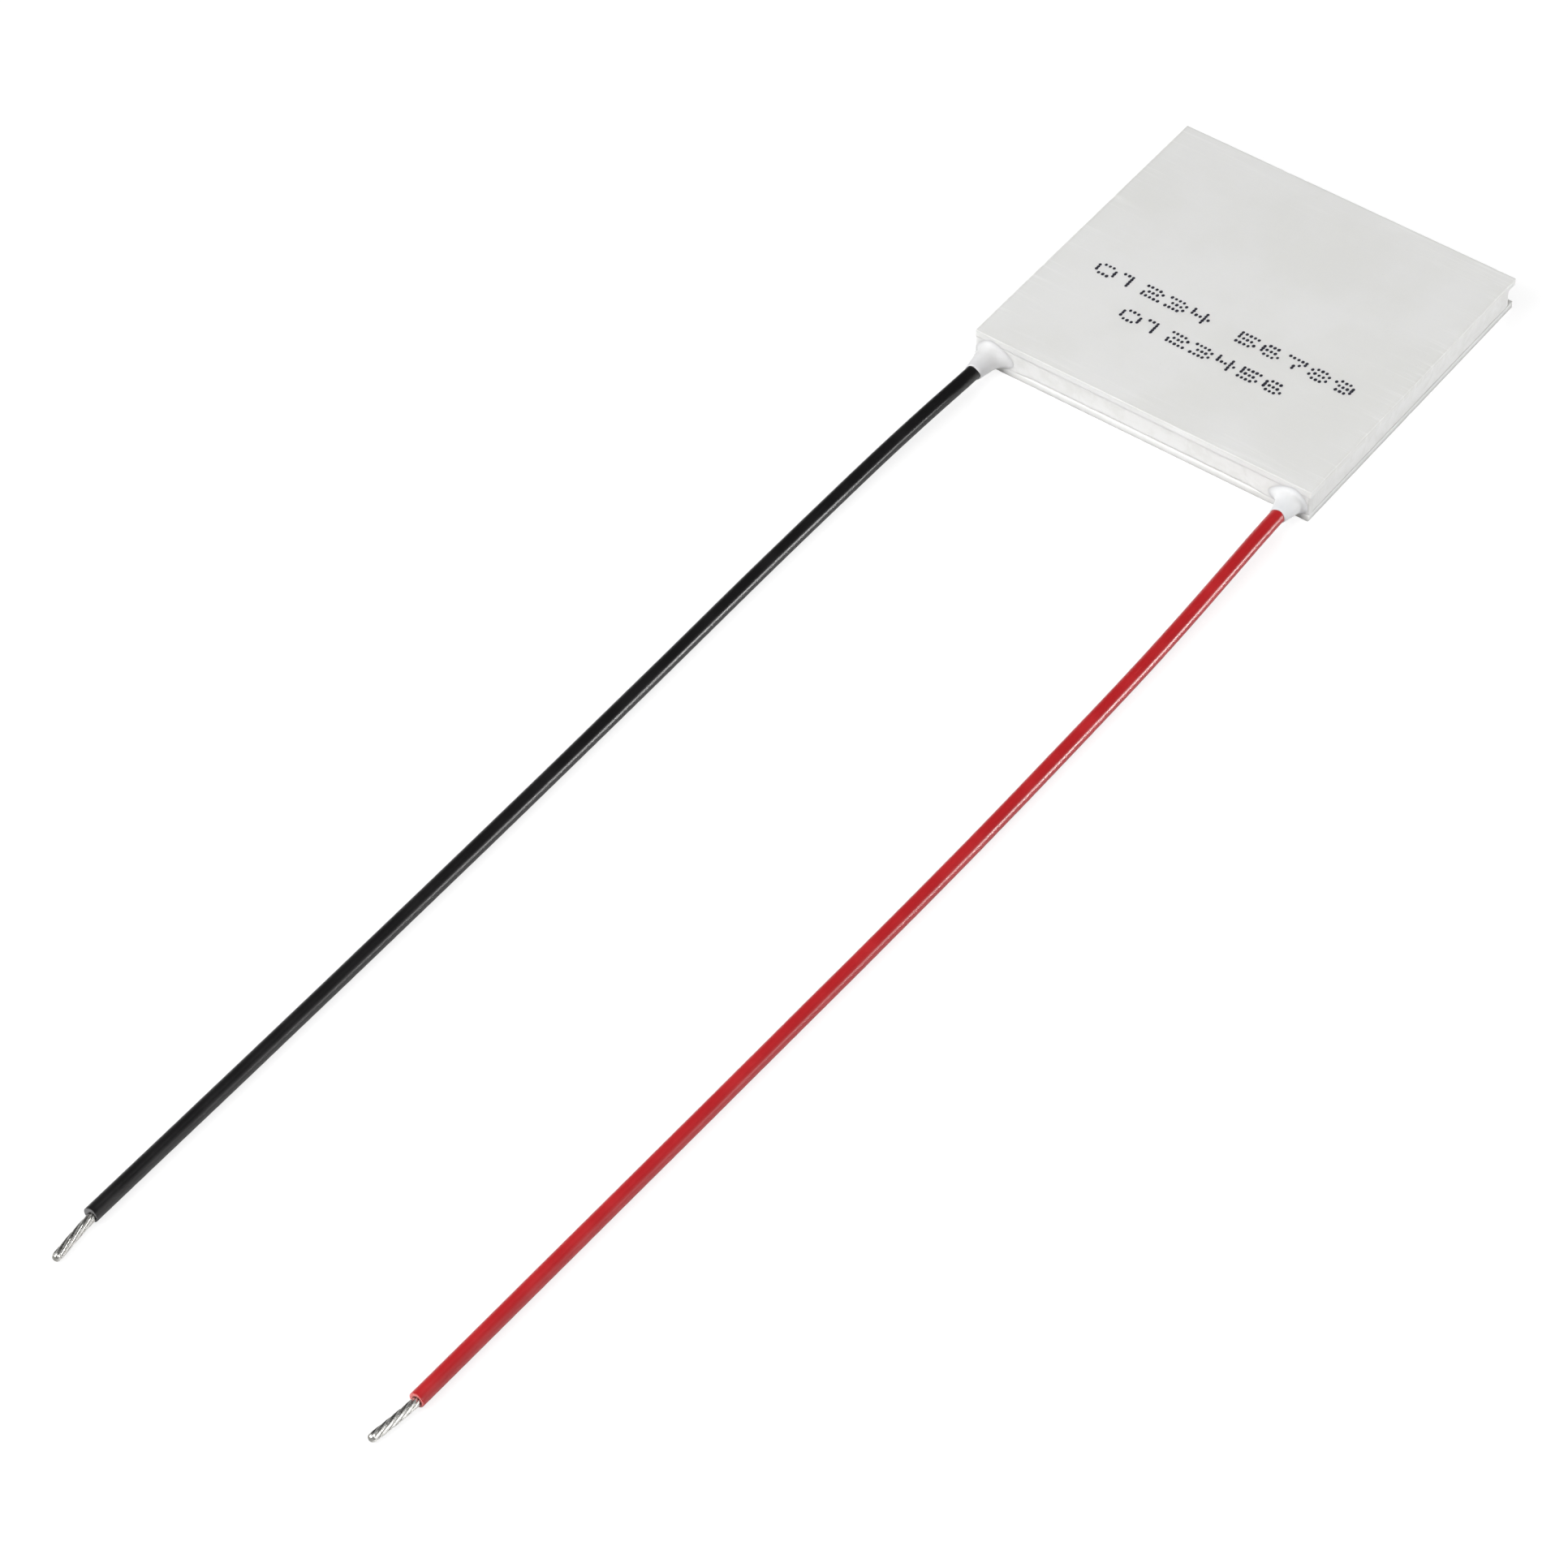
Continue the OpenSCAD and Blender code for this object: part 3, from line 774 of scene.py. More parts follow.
NEGATIVE_ROUTE = laid_route((
    0, 0, -0.05, -0.2, -0.38, -0.6, -0.79, -0.93, -1.03, -1.09, -1.11, -1.11, -1.09, -1.06,
    -1.03, -1.01, -1, -0.99, -0.98, -0.98, -0.99, -1, -1.02, -1.04, -1.07, -1.1, -1.13,
    -1.17, -1.21, -1.25, -1.3, -1.35, -1.4, -1.45, -1.48), (139, 142))
POSITIVE_ROUTE = laid_route((
    0, 0, 0.03, 0.1, 0.18, 0.27, 0.35, 0.41, 0.46, 0.49, 0.51, 0.52, 0.52, 0.52, 0.5, 0.47,
    0.41, 0.34, 0.25, 0.16, 0.05, -0.06, -0.16, -0.27, -0.37, -0.48, -0.59, -0.7, -0.81,
    -0.92, -1.03, -1.14, -1.25, -1.35, -1.43), (138.5, 141.5))


class Polarity(Enum):
    """Which lead it is, and the side of the module that it leaves from."""

    NEGATIVE = -1
    POSITIVE = 1

    @property
    def label(self) -> str:
        """The word that the CAD nodes' names begin with."""
        return self.name.lower()


@dataclass
class Insulation:
    """The PVC sleeve of a lead, with its cut end."""

    outer_r: float = 0.8 * MM
    bore_r: float = 0.5 * MM
    bore_depth: float = 0.6 * MM
    cut_round: float = 0.07 * MM
    # How far the cut face is dished in towards the bore, and how white the stripper left it
    dish: float = 0.05 * MM
    whitened: float = 0.75
    # The skin lies a little inside the outer size. Height and length of what rides on it:
    # the strands' ripple, which turns with them, and a slow change to oval and back
    skin_inset: float = 0.008 * MM
    strands: int = STRANDS
    ripple: Pair = (0.006 * MM, 11 * MM)
    oval: Pair = (0.004 * MM, 3.1 * MM)
    sides: int = 28
    between: int = 5

    def build(self, name: str, route: np.ndarray, core: Pair, finish: Finish) -> Piece:
        """Carry the sleeve's section along its route and turn it in at the cut end.

        The radius is the outer one with a slow ripple of the strands under it. At the end
        it rounds over by a quarter circle, runs across the cut face while its centre moves
        to the off-centre bore, and goes back in along the bore.

        Args:
            name: the piece's name.
            route: the route's points in metres.
            core: how far the bore is to the right and up from the sleeve's centre.
            finish: the PVC.

        Returns:
            The sleeve.
        """
        sweep = Sweep.on(smooth_route(route, self.between))
        bend = np.linspace(0, math.pi / 2, 5)[1:]
        share = np.array([0.35, 0.7, 1.0])
        depth = np.array([0.03 * MM, 0.3 * MM, self.bore_depth])
        width = self.outer_r - self.cut_round - self.bore_r
        cut_r = self.outer_r - self.cut_round - share * width
        advance = np.concatenate([self.cut_round * (np.sin(bend) - 1), -self.dish * share**2,
                                  -self.dish - depth])
        moved = np.concatenate([np.zeros(len(bend)), share, np.ones(len(depth))])
        sweep.centres[-1] -= sweep.ahead()[-1] * self.cut_round
        full = sweep.with_steps(advance + self.cut_round, moved * core[0], moved * core[1])
        angle = np.linspace(0, 2 * math.pi, self.sides, endpoint=False)[None]
        along = sweep.along[:, None]
        ripple = self.ripple[0] * np.sin(
            self.strands * (angle + 2 * math.pi * along / self.ripple[1]))
        slow = self.oval[0] * np.sin(along / self.oval[1]) * np.cos(2 * angle)
        rounded = self.outer_r - self.cut_round * (1 - np.cos(bend))
        ends = np.concatenate([rounded, cut_r, np.full(len(depth), self.bore_r)])
        radius = np.vstack([self.outer_r - self.skin_inset + ripple + slow,
                            np.broadcast_to(ends[:, None], (len(ends), self.sides))])
        # From halfway round the cut edge to just inside the bore
        cut = np.zeros(radius.shape)
        cut[len(along) + 2 : len(along) + 8] = self.whitened
        fields = {STRAIGHT: full.straightened(radius, angle), "cut": cut}
        return surface(name, full.skin(radius, angle), finish, fields=fields, sharp_deg=60)


@dataclass
class StrippedEnd:
    """The bared strands of a lead, twisted together and held by solder."""

    core: Pair
    bend: Triple
    lay: float
    radius: float = 0.475 * MM
    strands: int = STRANDS
    strand_r: float = 0.165 * MM
    point_len: float = 0.5 * MM
    inside: float = 0.55 * MM
    turn_share: float = 0.2
    sides_a_strand: int = 9
    # Lengths of the waves that the strands and the solder wander by
    waves: Triple = (0.9 * MM, 1.7 * MM, 2.6 * MM)
    # Solder in the grooves: its usual share, how far it wanders and its most
    fill: Triple = (0.13, 0.22, 0.6)
    swell: float = 0.035
    # A groove this deep is as dark as grooves get
    dark_depth: float = 0.09 * MM
    # Shade in the sleeve: how far out it ends, the length it fades over, and its most
    shade: Triple = (0.25 * MM, 0.3 * MM, 0.8)
    # Share of painted shade at the point, which dims its reflection
    dark_point: float = 0.85

    def line(self, start: np.ndarray, ahead: np.ndarray) -> np.ndarray:
        """Lay the line of the strands.

        Inside the sleeve it is straight. Outside it is the quadratic curve of its start, a
        point a fifth of its length straight ahead, and its end.

        Args:
            start: where the strands leave the cut end.
            ahead: the lead's direction there.

        Returns:
            The line's points, from inside the sleeve to the point.
        """
        run = np.array([self.bend[0], -self.bend[1], -self.bend[2]])
        middle = start + ahead * np.linalg.norm(run) * self.turn_share
        t = np.linspace(0, 1, 64)[:, None] ** 0.92
        curve = (1 - t) ** 2 * start + 2 * t * (1 - t) * middle + t**2 * (start + run)
        back = start - np.linspace(self.inside, self.inside / 6, 5)[:, None] * ahead
        return np.vstack([back, curve])

    def build(self, name: str, start: np.ndarray, ahead: np.ndarray, seed: int) -> Piece:
        """Twist the strands along their line.

        Across one strand's share of the turn the radius is that of a circle of strand_r
        whose centre is on a circle of radius - strand_r: c cos u + sqrt(r^2 - c^2 sin^2 u).
        Solder fills the grooves by a share that wanders along the length and is full at
        the point, where the radius falls off as a quarter ellipse.

        Args:
            name: the piece's name.
            start: where the strands leave the cut end.
            ahead: the lead's direction there.
            seed: chooses how the strands wander.

        Returns:
            The stripped end.
        """
        sweep = Sweep.on(self.line(start, ahead))
        chance = np.random.default_rng(SEED + seed)
        columns = self.strands * self.sides_a_strand
        around = np.linspace(0, 2 * math.pi, columns, endpoint=False)[None]
        along, length = sweep.along[:, None], sweep.along[-1]
        pitch = 2 * math.pi / self.strands
        within = (around % pitch) - pitch / 2
        circle = self.radius - self.strand_r
        lobe = circle * np.cos(within) + np.sqrt(
            np.maximum(self.strand_r**2 - (circle * np.sin(within)) ** 2, 0))
        number = (around // pitch).astype(int)
        wander = sum(
            chance.uniform(0.3, 1) * np.sin(
                along / wave + chance.uniform(*PHASE, self.strands)[number])
            for wave in self.waves) / len(self.waves)
        left = np.clip((length - along) / (1.3 * self.point_len), 0, 1)
        usual, change, most = self.fill
        fill = np.clip(usual + change * wander, 0, most) * left + (1 - left)
        crown = self.radius * (1 + self.swell * wander * left)
        shaped = (lobe + (0.97 * self.radius - lobe) * fill) * crown / self.radius
        past = np.clip((along - (length - self.point_len)) / self.point_len, 0, 1)
        radius = shaped * np.sqrt(np.maximum(1 - (0.985 * past) ** 2, 0.0))
        turned = around + 2 * math.pi * along / self.lay
        # Painted shade: the grooves, the strands inside the sleeve and the point are darkened, the
        # point to dim its reflection
        groove = np.clip((self.radius - lobe) / self.dark_depth, 0, 1) ** 1.3 * (1 - fill) * left
        out, fade, darkest = self.shade
        shade = np.clip((out - (along - self.inside)) / fade, 0, darkest)
        dark = np.maximum(np.maximum(groove, shade), self.dark_point * past)
        fields = {STRAIGHT: sweep.straightened(radius, turned), "groove": dark}
        return surface(name, sweep.skin(radius, turned), TIN, fields=fields, sharp_deg=75)


@dataclass
class SealCone:
    """The silicone cone that seals a lead where it leaves the plates."""

    length: float
    root_r: float = 1.35 * MM
    lift: float = 0.3 * MM
    inner_flare: float = 1.35 * MM
    outer_flare: float = 0.55 * MM
    upper_flare: float = 0.5 * MM
    lip_r: float = 0.92 * MM
    sink: float = 0.25 * MM
    rows: int = 26
    sides: int = 56
    # Bumps of the smoothing: their height, and waves round the cone with lengths along it
    bump_mm: float = 0.011
    waves: tuple[Pair, ...] = ((1, 0.9), (2, 0.7), (3, 0.55), (4, 0.4))
    swell: float = 0.035
    # How far the lip slants and how far it waves
    slant: Pair = (0.09 * MM, 0.05 * MM)
    # Under the lip: how far it rolls out, how far inside the sleeve's skin it meets the
    # sleeve and is closed, and how far back it is closed
    roll: float = 0.05 * MM
    bite: Pair = (0.02 * MM, 0.1 * MM)
    tuck: float = 0.5 * MM
    off_table: float = 0.02 * MM
    # Shares of the colour under the skin: everywhere, what the lip adds where the skin over the
    # lead is thin, and what the foot adds as painted shade; and how far that shade reaches
    sheer: Triple = (0.25, 0.45, 0.25)
    feather: float = 0.2 * MM

    def build(self, name: str, root: np.ndarray, side: int, sleeve_r: float,
              finish: Finish) -> Piece:
        """Draw the cone out from the plates' front face to its lip.

        At a distance d out, the half width is the root's, tapering evenly to the lip's,
        plus a flare r - sqrt(r^2 - (r - d)^2), wide on the inner side and small on the
        outer one. The half height tapers from the root's to the lip's, and is smeared up
        the cold plate by a flare of its own. Slow bumps of the smoothing ride on both. The
        lip rounds over to the sleeve and ends under it.

        Args:
            name: the piece's name.
            root: the lead's axis where it leaves the front face.
            side: -1 or 1, the side of the module.
            sleeve_r: radius of the lead's insulation.
            finish: the silicone.

        Returns:
            The cone.
        """
        chance = np.random.default_rng(SEED + 11 + side)
        angle = np.linspace(0, 2 * math.pi, self.sides, endpoint=False)[None]
        share = np.linspace(0, 1, self.rows)[:, None]
        d = share**1.7 * self.length
        inward = 0.5 - 0.5 * side * np.cos(angle)
        flare = self.outer_flare + (
            (self.inner_flare - self.outer_flare) * inward**2 * (3 - 2 * inward))
        smear = self.upper_flare * np.clip(np.sin(angle), 0, 1) + 1e-6 * MM
        widened, raised = (
            np.where(d < r, r - np.sqrt(np.maximum(r**2 - (r - d) ** 2, 0)), 0.0)
            for r in (flare, smear))
        upright = np.abs(np.cos(angle)) ** 0.7
        half_w = self.root_r + (self.lip_r - self.root_r) * d / self.length + widened * upright
        root_h = root[2] - self.lift
        half_h = root_h + (self.lip_r - root_h) * d / self.length + raised
        bumps = sum(
            np.sin(k * angle + chance.uniform(*PHASE))
            * np.sin(d / (wave * MM) + chance.uniform(*PHASE))
            for k, wave in self.waves) * self.bump_mm * MM
        middle = np.sin(math.pi * share)
        swell = 1 + bumps * middle / self.root_r + self.swell * middle
        out_x, out_z = half_w * np.cos(angle) * swell, half_h * np.sin(angle) * swell
        oblique = self.slant[0] * np.sin(angle - 0.6) + self.slant[1] * np.sin(3 * angle + side)
        y = -(d + oblique * share**3)
        body = np.stack([out_x, np.broadcast_to(y, out_x.shape), out_z], axis=-1)
        start = body[:1] + [0, self.sink, 0]
        turn = np.array([0.45, 0.8, 1.0])[:, None]
        lip = self.lip_r + (sleeve_r - self.bite[0] - self.lip_r) * turn
        lip_y = y[-1:] - self.roll * np.sin(math.pi * turn)
        tucked = np.array([[sleeve_r - self.bite[1]]])
        over, under = (
            np.stack([r * np.cos(angle), row_y + 0 * angle, r * np.sin(angle)], axis=-1)
            for r, row_y in ((lip, lip_y), (tucked, y[-1:] + self.tuck)))
        grid = np.concatenate([start, body, over, under]) + root
        grid[..., 2] = np.maximum(grid[..., 2], self.off_table)
        out = np.clip((root[1] - grid[..., 1]) / self.length, 0, 1)
        # Darker near the lip, where the lead shows through, and at the foot as painted shade
        base, at_lip, at_foot = self.sheer
        shaded_foot = at_foot * np.exp(-out * self.length / self.feather)
        thin = np.minimum(base + at_lip * out**1.2 + shaded_foot, 1)
        return surface(name, grid, finish, fields={"thin": thin}, sharp_deg=80)


@dataclass
class Lead:
    """One lead: its sleeve, its stripped end and its seal cone, laid out along its route."""

    polarity: Polarity
    route: np.ndarray
    length: float
    finish: Finish
    skin: Finish
    slot: str
    end: StrippedEnd
    cone: SealCone
    sleeve: Insulation = field(default_factory=Insulation)

    def placed(self) -> np.ndarray:
        """Place the route in the frame.

        Returns:
            The route's points in metres, from the front face outwards.
        """
        low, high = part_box(f"{self.polarity.label}_inner_conductor")
        axis_x, axis_z = (low.x + high.x) / 2, (low.z + high.z) / 2
        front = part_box("hot_side_plate")[0].y
        rest = self.sleeve.outer_r
        aside, out, rise = (self.route * [MM, MM, 1.0]).T
        return np.stack([axis_x + aside, front - out, rest + rise * (axis_z - rest)], axis=-1)

    def build(self) -> None:
        label, side = self.polarity.label, self.polarity.value
        route = self.placed()
        sweep = Sweep.on(smooth_route(route, self.sleeve.between))
        right, up, ahead = sweep.right[-1], sweep.up[-1], sweep.ahead()[-1]
        # The source gives the bore's place towards +X and down; the ring's right is -X
        aside, above = -self.end.core[0], -self.end.core[1]
        sleeve = self.sleeve.build(f"{label}_lead_sleeve", route, (aside, above), self.finish)
        strands = self.end.build(f"{label}_lead_strands",
                                 route[-1] + right * aside + up * above, ahead, side)
        cone = self.cone.build(f"{label}_lead_cone", route[0], side, self.sleeve.outer_r,
                               self.skin)
        stand_in(sleeve, f"{label}_lead")
        stand_in(strands, f"{label}_stripped_end")
        stand_in(cone, f"{label}_lead_seal")


# ---- Plates, print and sealant ----


@dataclass
class Outline:
    """Stations round a rectangle with rounded corners, with their place and direction."""

    per_side: int
    per_corner: int
    corner_r: float
    back_corner_r: float

    def stations(self) -> tuple[np.ndarray, np.ndarray, np.ndarray]:
        """Lay the stations, anticlockwise from the front left corner.

        Along a side one of the two shares goes evenly from -1 to 1, and the other one is
        that side's; round a corner both stay, and the direction turns by 90 degrees.

        Returns:
            Each station's share along X, its share along Y, and its outward direction.
        """
        run = np.linspace(-1, 1, self.per_side + 1)
        turn = np.linspace(0, math.pi / 2, self.per_corner + 1)[1:-1]
        side = np.stack([np.append(run, np.ones(len(turn))), -np.ones(len(run) + len(turn))])
        turned = np.append(np.zeros(len(run)), turn)
        shares, ways = [], []
        for angle in (k * math.pi / 2 for k in range(4)):
            cos, sin = math.cos(angle), math.sin(angle)
            shares.append(np.array([[cos, -sin], [sin, cos]]) @ side)
            ways.append(angle - math.pi / 2 + turned)
        share_x, share_y = np.hstack(shares)
        return share_x, share_y, np.concatenate(ways)

    def offset(self, half: Pair, inset: np.ndarray) -> tuple[np.ndarray, np.ndarray]:
        """Move the stations in from a rectangle.

        A point is its share times (half size - inset - corner radius), plus the corner
        radius in its outward direction. The corner radius goes evenly from the front
        corners' to the back corners'.

        Args:
            half: half the rectangle's width and depth.
            inset: how far in each point is, as stations x columns.

        Returns:
            X and Y of each point, as stations x columns.
        """
        share_x, share_y, way = (v[:, None] for v in self.stations())
        corner = self.corner_r + (self.back_corner_r - self.corner_r) * (1 + share_y) / 2
        x = share_x * (half[0] - inset - corner) + corner * np.cos(way)
        y = share_y * (half[1] - inset - corner) + corner * np.sin(way)
        return x, y


@dataclass
class CeramicPlate:
    """An alumina plate, cut with a saw, with broken edges and a few small chips."""

    node: str
    seed: int
    # Shares of painted highlight and of painted shade along the top edge, and of painted shade
    # along the foot
    edge_white: float = 0.0
    edge_grime: float = 0.0
    foot_grime: float = 0.0
    edge_r: float = 0.05 * MM
    chips: int = 26
    chip_depth: float = 0.1 * MM
    # How far in from the edge each reaches: the foot's painted shade, the top edge's painted
    # highlight and shade, and wiping
    foot_reach: float = 0.1 * MM
    edge_reach: float = 0.16 * MM
    wiped_reach: float = 1.8 * MM
    outline: Outline = field(default_factory=lambda: Outline(150, 5, 0.1 * MM, 0.1 * MM))

    def broken_edge(self, stations: int) -> np.ndarray:
        """Make the radius of the broken edge round the plate.

        It is the edge's own radius, with a jitter from the saw, and a chip is a bell over
        two or three stations.

        Args:
            stations: how many stations there are round the plate.

        Returns:
            One radius for each station.
        """
        chance = np.random.default_rng(SEED + self.seed)
        place = np.arange(stations)[:, None]
        where = chance.uniform(0, stations, self.chips)[None]
        size = self.chip_depth * chance.uniform(0.25, 1, self.chips)[None] ** 2
        gap = np.abs((place - where + stations / 2) % stations - stations / 2)
        width = chance.uniform(0.6, 1.5, self.chips)[None]
        chipped = (size * np.exp(-((gap / width) ** 2))).sum(1)
        return self.edge_r * chance.uniform(0.75, 1.25, stations) + chipped

    def build(self) -> None:
        """Carry the plate's edge section round its outline and close both faces.

        From the middle of the top face the section runs out, over a quarter circle, down
        the sawn side, and back in under the plate.
        """
        low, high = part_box(self.node)
        thick = high.z - low.z
        stations = len(self.outline.stations()[0])
        over, under = (r[:, None] for r in (self.broken_edge(stations),
                                            self.broken_edge(stations)[::-1]))
        # Insets of the rows on a face, from its middle out
        flat = np.array([12.0, 8.0, 5.5, 3.8, 2.6, 1.8, 1.2, 0.8, 0.5, 0.3, 0.18]) * MM
        faces = np.broadcast_to(flat, (stations, len(flat)))
        turn = np.linspace(0, math.pi / 2, 5)[None]
        curl, fall = 1 - np.sin(turn), 1 - np.cos(turn)
        edge = np.hstack([over * curl, np.zeros((stations, 2)), (under * curl)[:, ::-1]])
        drop = np.hstack([over * fall, over * 0 + thick * 0.36, under * 0 + thick * 0.64,
                          thick - (under * fall)[:, ::-1]])
        inset = np.hstack([faces, edge, faces[:, ::-1]])
        depth = np.hstack([0 * faces, drop, 0 * faces + thick])
        x, y = self.outline.offset(((high.x - low.x) / 2, (high.y - low.y) / 2), inset)
        down = depth / thick
        # Painted shade darkens the lower side and the underside near the edge, where the plate
        # meets the table; the top edge takes painted shade and a painted highlight
        foot = self.foot_grime * np.clip((down - 0.25) / 0.72, 0, 1) ** 1.5 * np.exp(
            -inset / self.foot_reach)
        by_top = np.exp(-inset / self.edge_reach) * (down < 0.3)
        fields = {"rim": (self.edge_white * by_top).T,
                  "foot": (foot + self.edge_grime * by_top).T,
                  "near": np.exp(-inset / self.wiped_reach).T}
        centre = (np.array(low) + np.array(high)) / 2
        grid = np.stack([x + centre[0], y + centre[1], high.z - depth], axis=-1)
        piece = surface(self.node + "_sawn", grid.transpose(1, 0, 2), ALUMINA, fields=fields,
                        sharp_deg=35)
        stand_in(piece, self.node)


# Digits as five rows of five drops each
DIGITS = {
    "0": ".###. #...# #...# #...# .###.", "1": "###.. ..#.. ..#.. ..#.. ..#..",
    "2": "####. ....# .###. #.... #####", "3": "####. ....# .###. ....# ####.",
    "4": "#..#. #..#. ##### ...#. ...#.", "5": "##### #.... ####. ....# ####.",
    "6": ".###. #.... ####. #...# .###.", "7": "##### ....# ...#. ..#.. ..#..",
    "8": ".###. #...# .###. #...# .###.", "9": ".###. #...# .#### ....# .###.",
}


@dataclass
class PrintedDigits:
    """Two rows of counting digits, thrown on the cold plate as drops of ink.

    All sizes are in millimetres.
    """

    # Each row's text, where it starts along X, and its top line's Y
    rows: tuple[tuple[str, float, float], ...] = (
        ("01234 56789", -15.3, -3.62), ("0123456", -9.47, -8.05))
    pitch: Pair = (0.49, 0.36)
    character: float = 2.873
    # How much each row falls for its length: the plate lay a little askew under the printer
    slope: float = -0.018
    # A drop's half width, half depth and height, and how far it strays from its place
    drop: Pair = (0.172, 0.222)
    height: float = 0.012
    stray: float = 0.012
    unround: float = 0.035
    sides: int = 10

    def centres(self) -> np.ndarray:
        """Find the drops' centres.

        Returns:
            X and Y of each drop in millimetres.
        """
        return np.array([
            (start + place * self.character + column * self.pitch[0],
             top - line * self.pitch[1]
             + self.slope * (place * self.character + column * self.pitch[0]))
            for text, start, top in self.rows
            for place, digit in enumerate(text) if digit in DIGITS
            for line, cells in enumerate(DIGITS[digit].split())
            for column, cell in enumerate(cells) if cell == "#"
        ])

    def build(self) -> None:
        """Copy one low drop to every centre, each a little out of place and of round.

        A drop is a flat dome: rings of 1, 0.86 and 0.5 of its size, at 0, 0.7 and 0.95 of
        its height, a vertex on top, and a base just under the plate's face.
        """
        chance = np.random.default_rng(SEED + 5)
        centres = self.centres()
        count, sides = len(centres), self.sides
        angle = np.linspace(0, 2 * math.pi, sides, endpoint=False)
        ring, rise = np.array([1.0, 1.0, 0.86, 0.5]), np.array([-0.4, 0.0, 0.7, 0.95])
        size = chance.uniform(0.9, 1.1, (count, 1, 1)) * (
            1 + chance.normal(0, self.unround, (count, 1, sides)))
        reach = ring[None, :, None] * size
        x, y = (centres[:, k, None, None] + self.drop[k] * reach * wave(angle)
                + chance.normal(0, self.stray, (count, 1, 1))
                for k, wave in enumerate((np.cos, np.sin)))
        z = np.broadcast_to(self.height * rise[None, :, None], x.shape)
        rings = np.stack([x, y, z], axis=-1).reshape(count, -1, 3)
        poles = np.repeat(rings[:, :sides].mean(1, keepdims=True), 2, axis=1)
        poles[..., 2] = self.height * rise[0], self.height
        vertices = np.concatenate([rings, poles], axis=1)
        each = vertices.shape[1]
        index = np.arange(len(ring) * sides).reshape(-1, sides)
        beside = np.roll(index, -1, axis=1)
        quads = np.stack([index[:-1], beside[:-1], beside[1:], index[1:]], -1).reshape(-1, 4)
        caps = np.vstack([np.stack([np.full(sides, each - 2), beside[0], index[0]], -1),
                          np.stack([np.full(sides, each - 1), index[-1], beside[-1]], -1)])
        shift = (np.arange(count) * each)[:, None, None]
        faces = [face for part in (quads, caps)
                 for face in (part + shift).reshape(-1, part.shape[1]).tolist()]
        placed = vertices.reshape(-1, 3) * MM + [0, 0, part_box("cold_side_plate")[1].z]
        piece = mesh_object("printed_digits", placed, faces, INK, {}, 60)
        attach(piece, "root")
        LOG.info("%s: %d drops", piece.name, count)


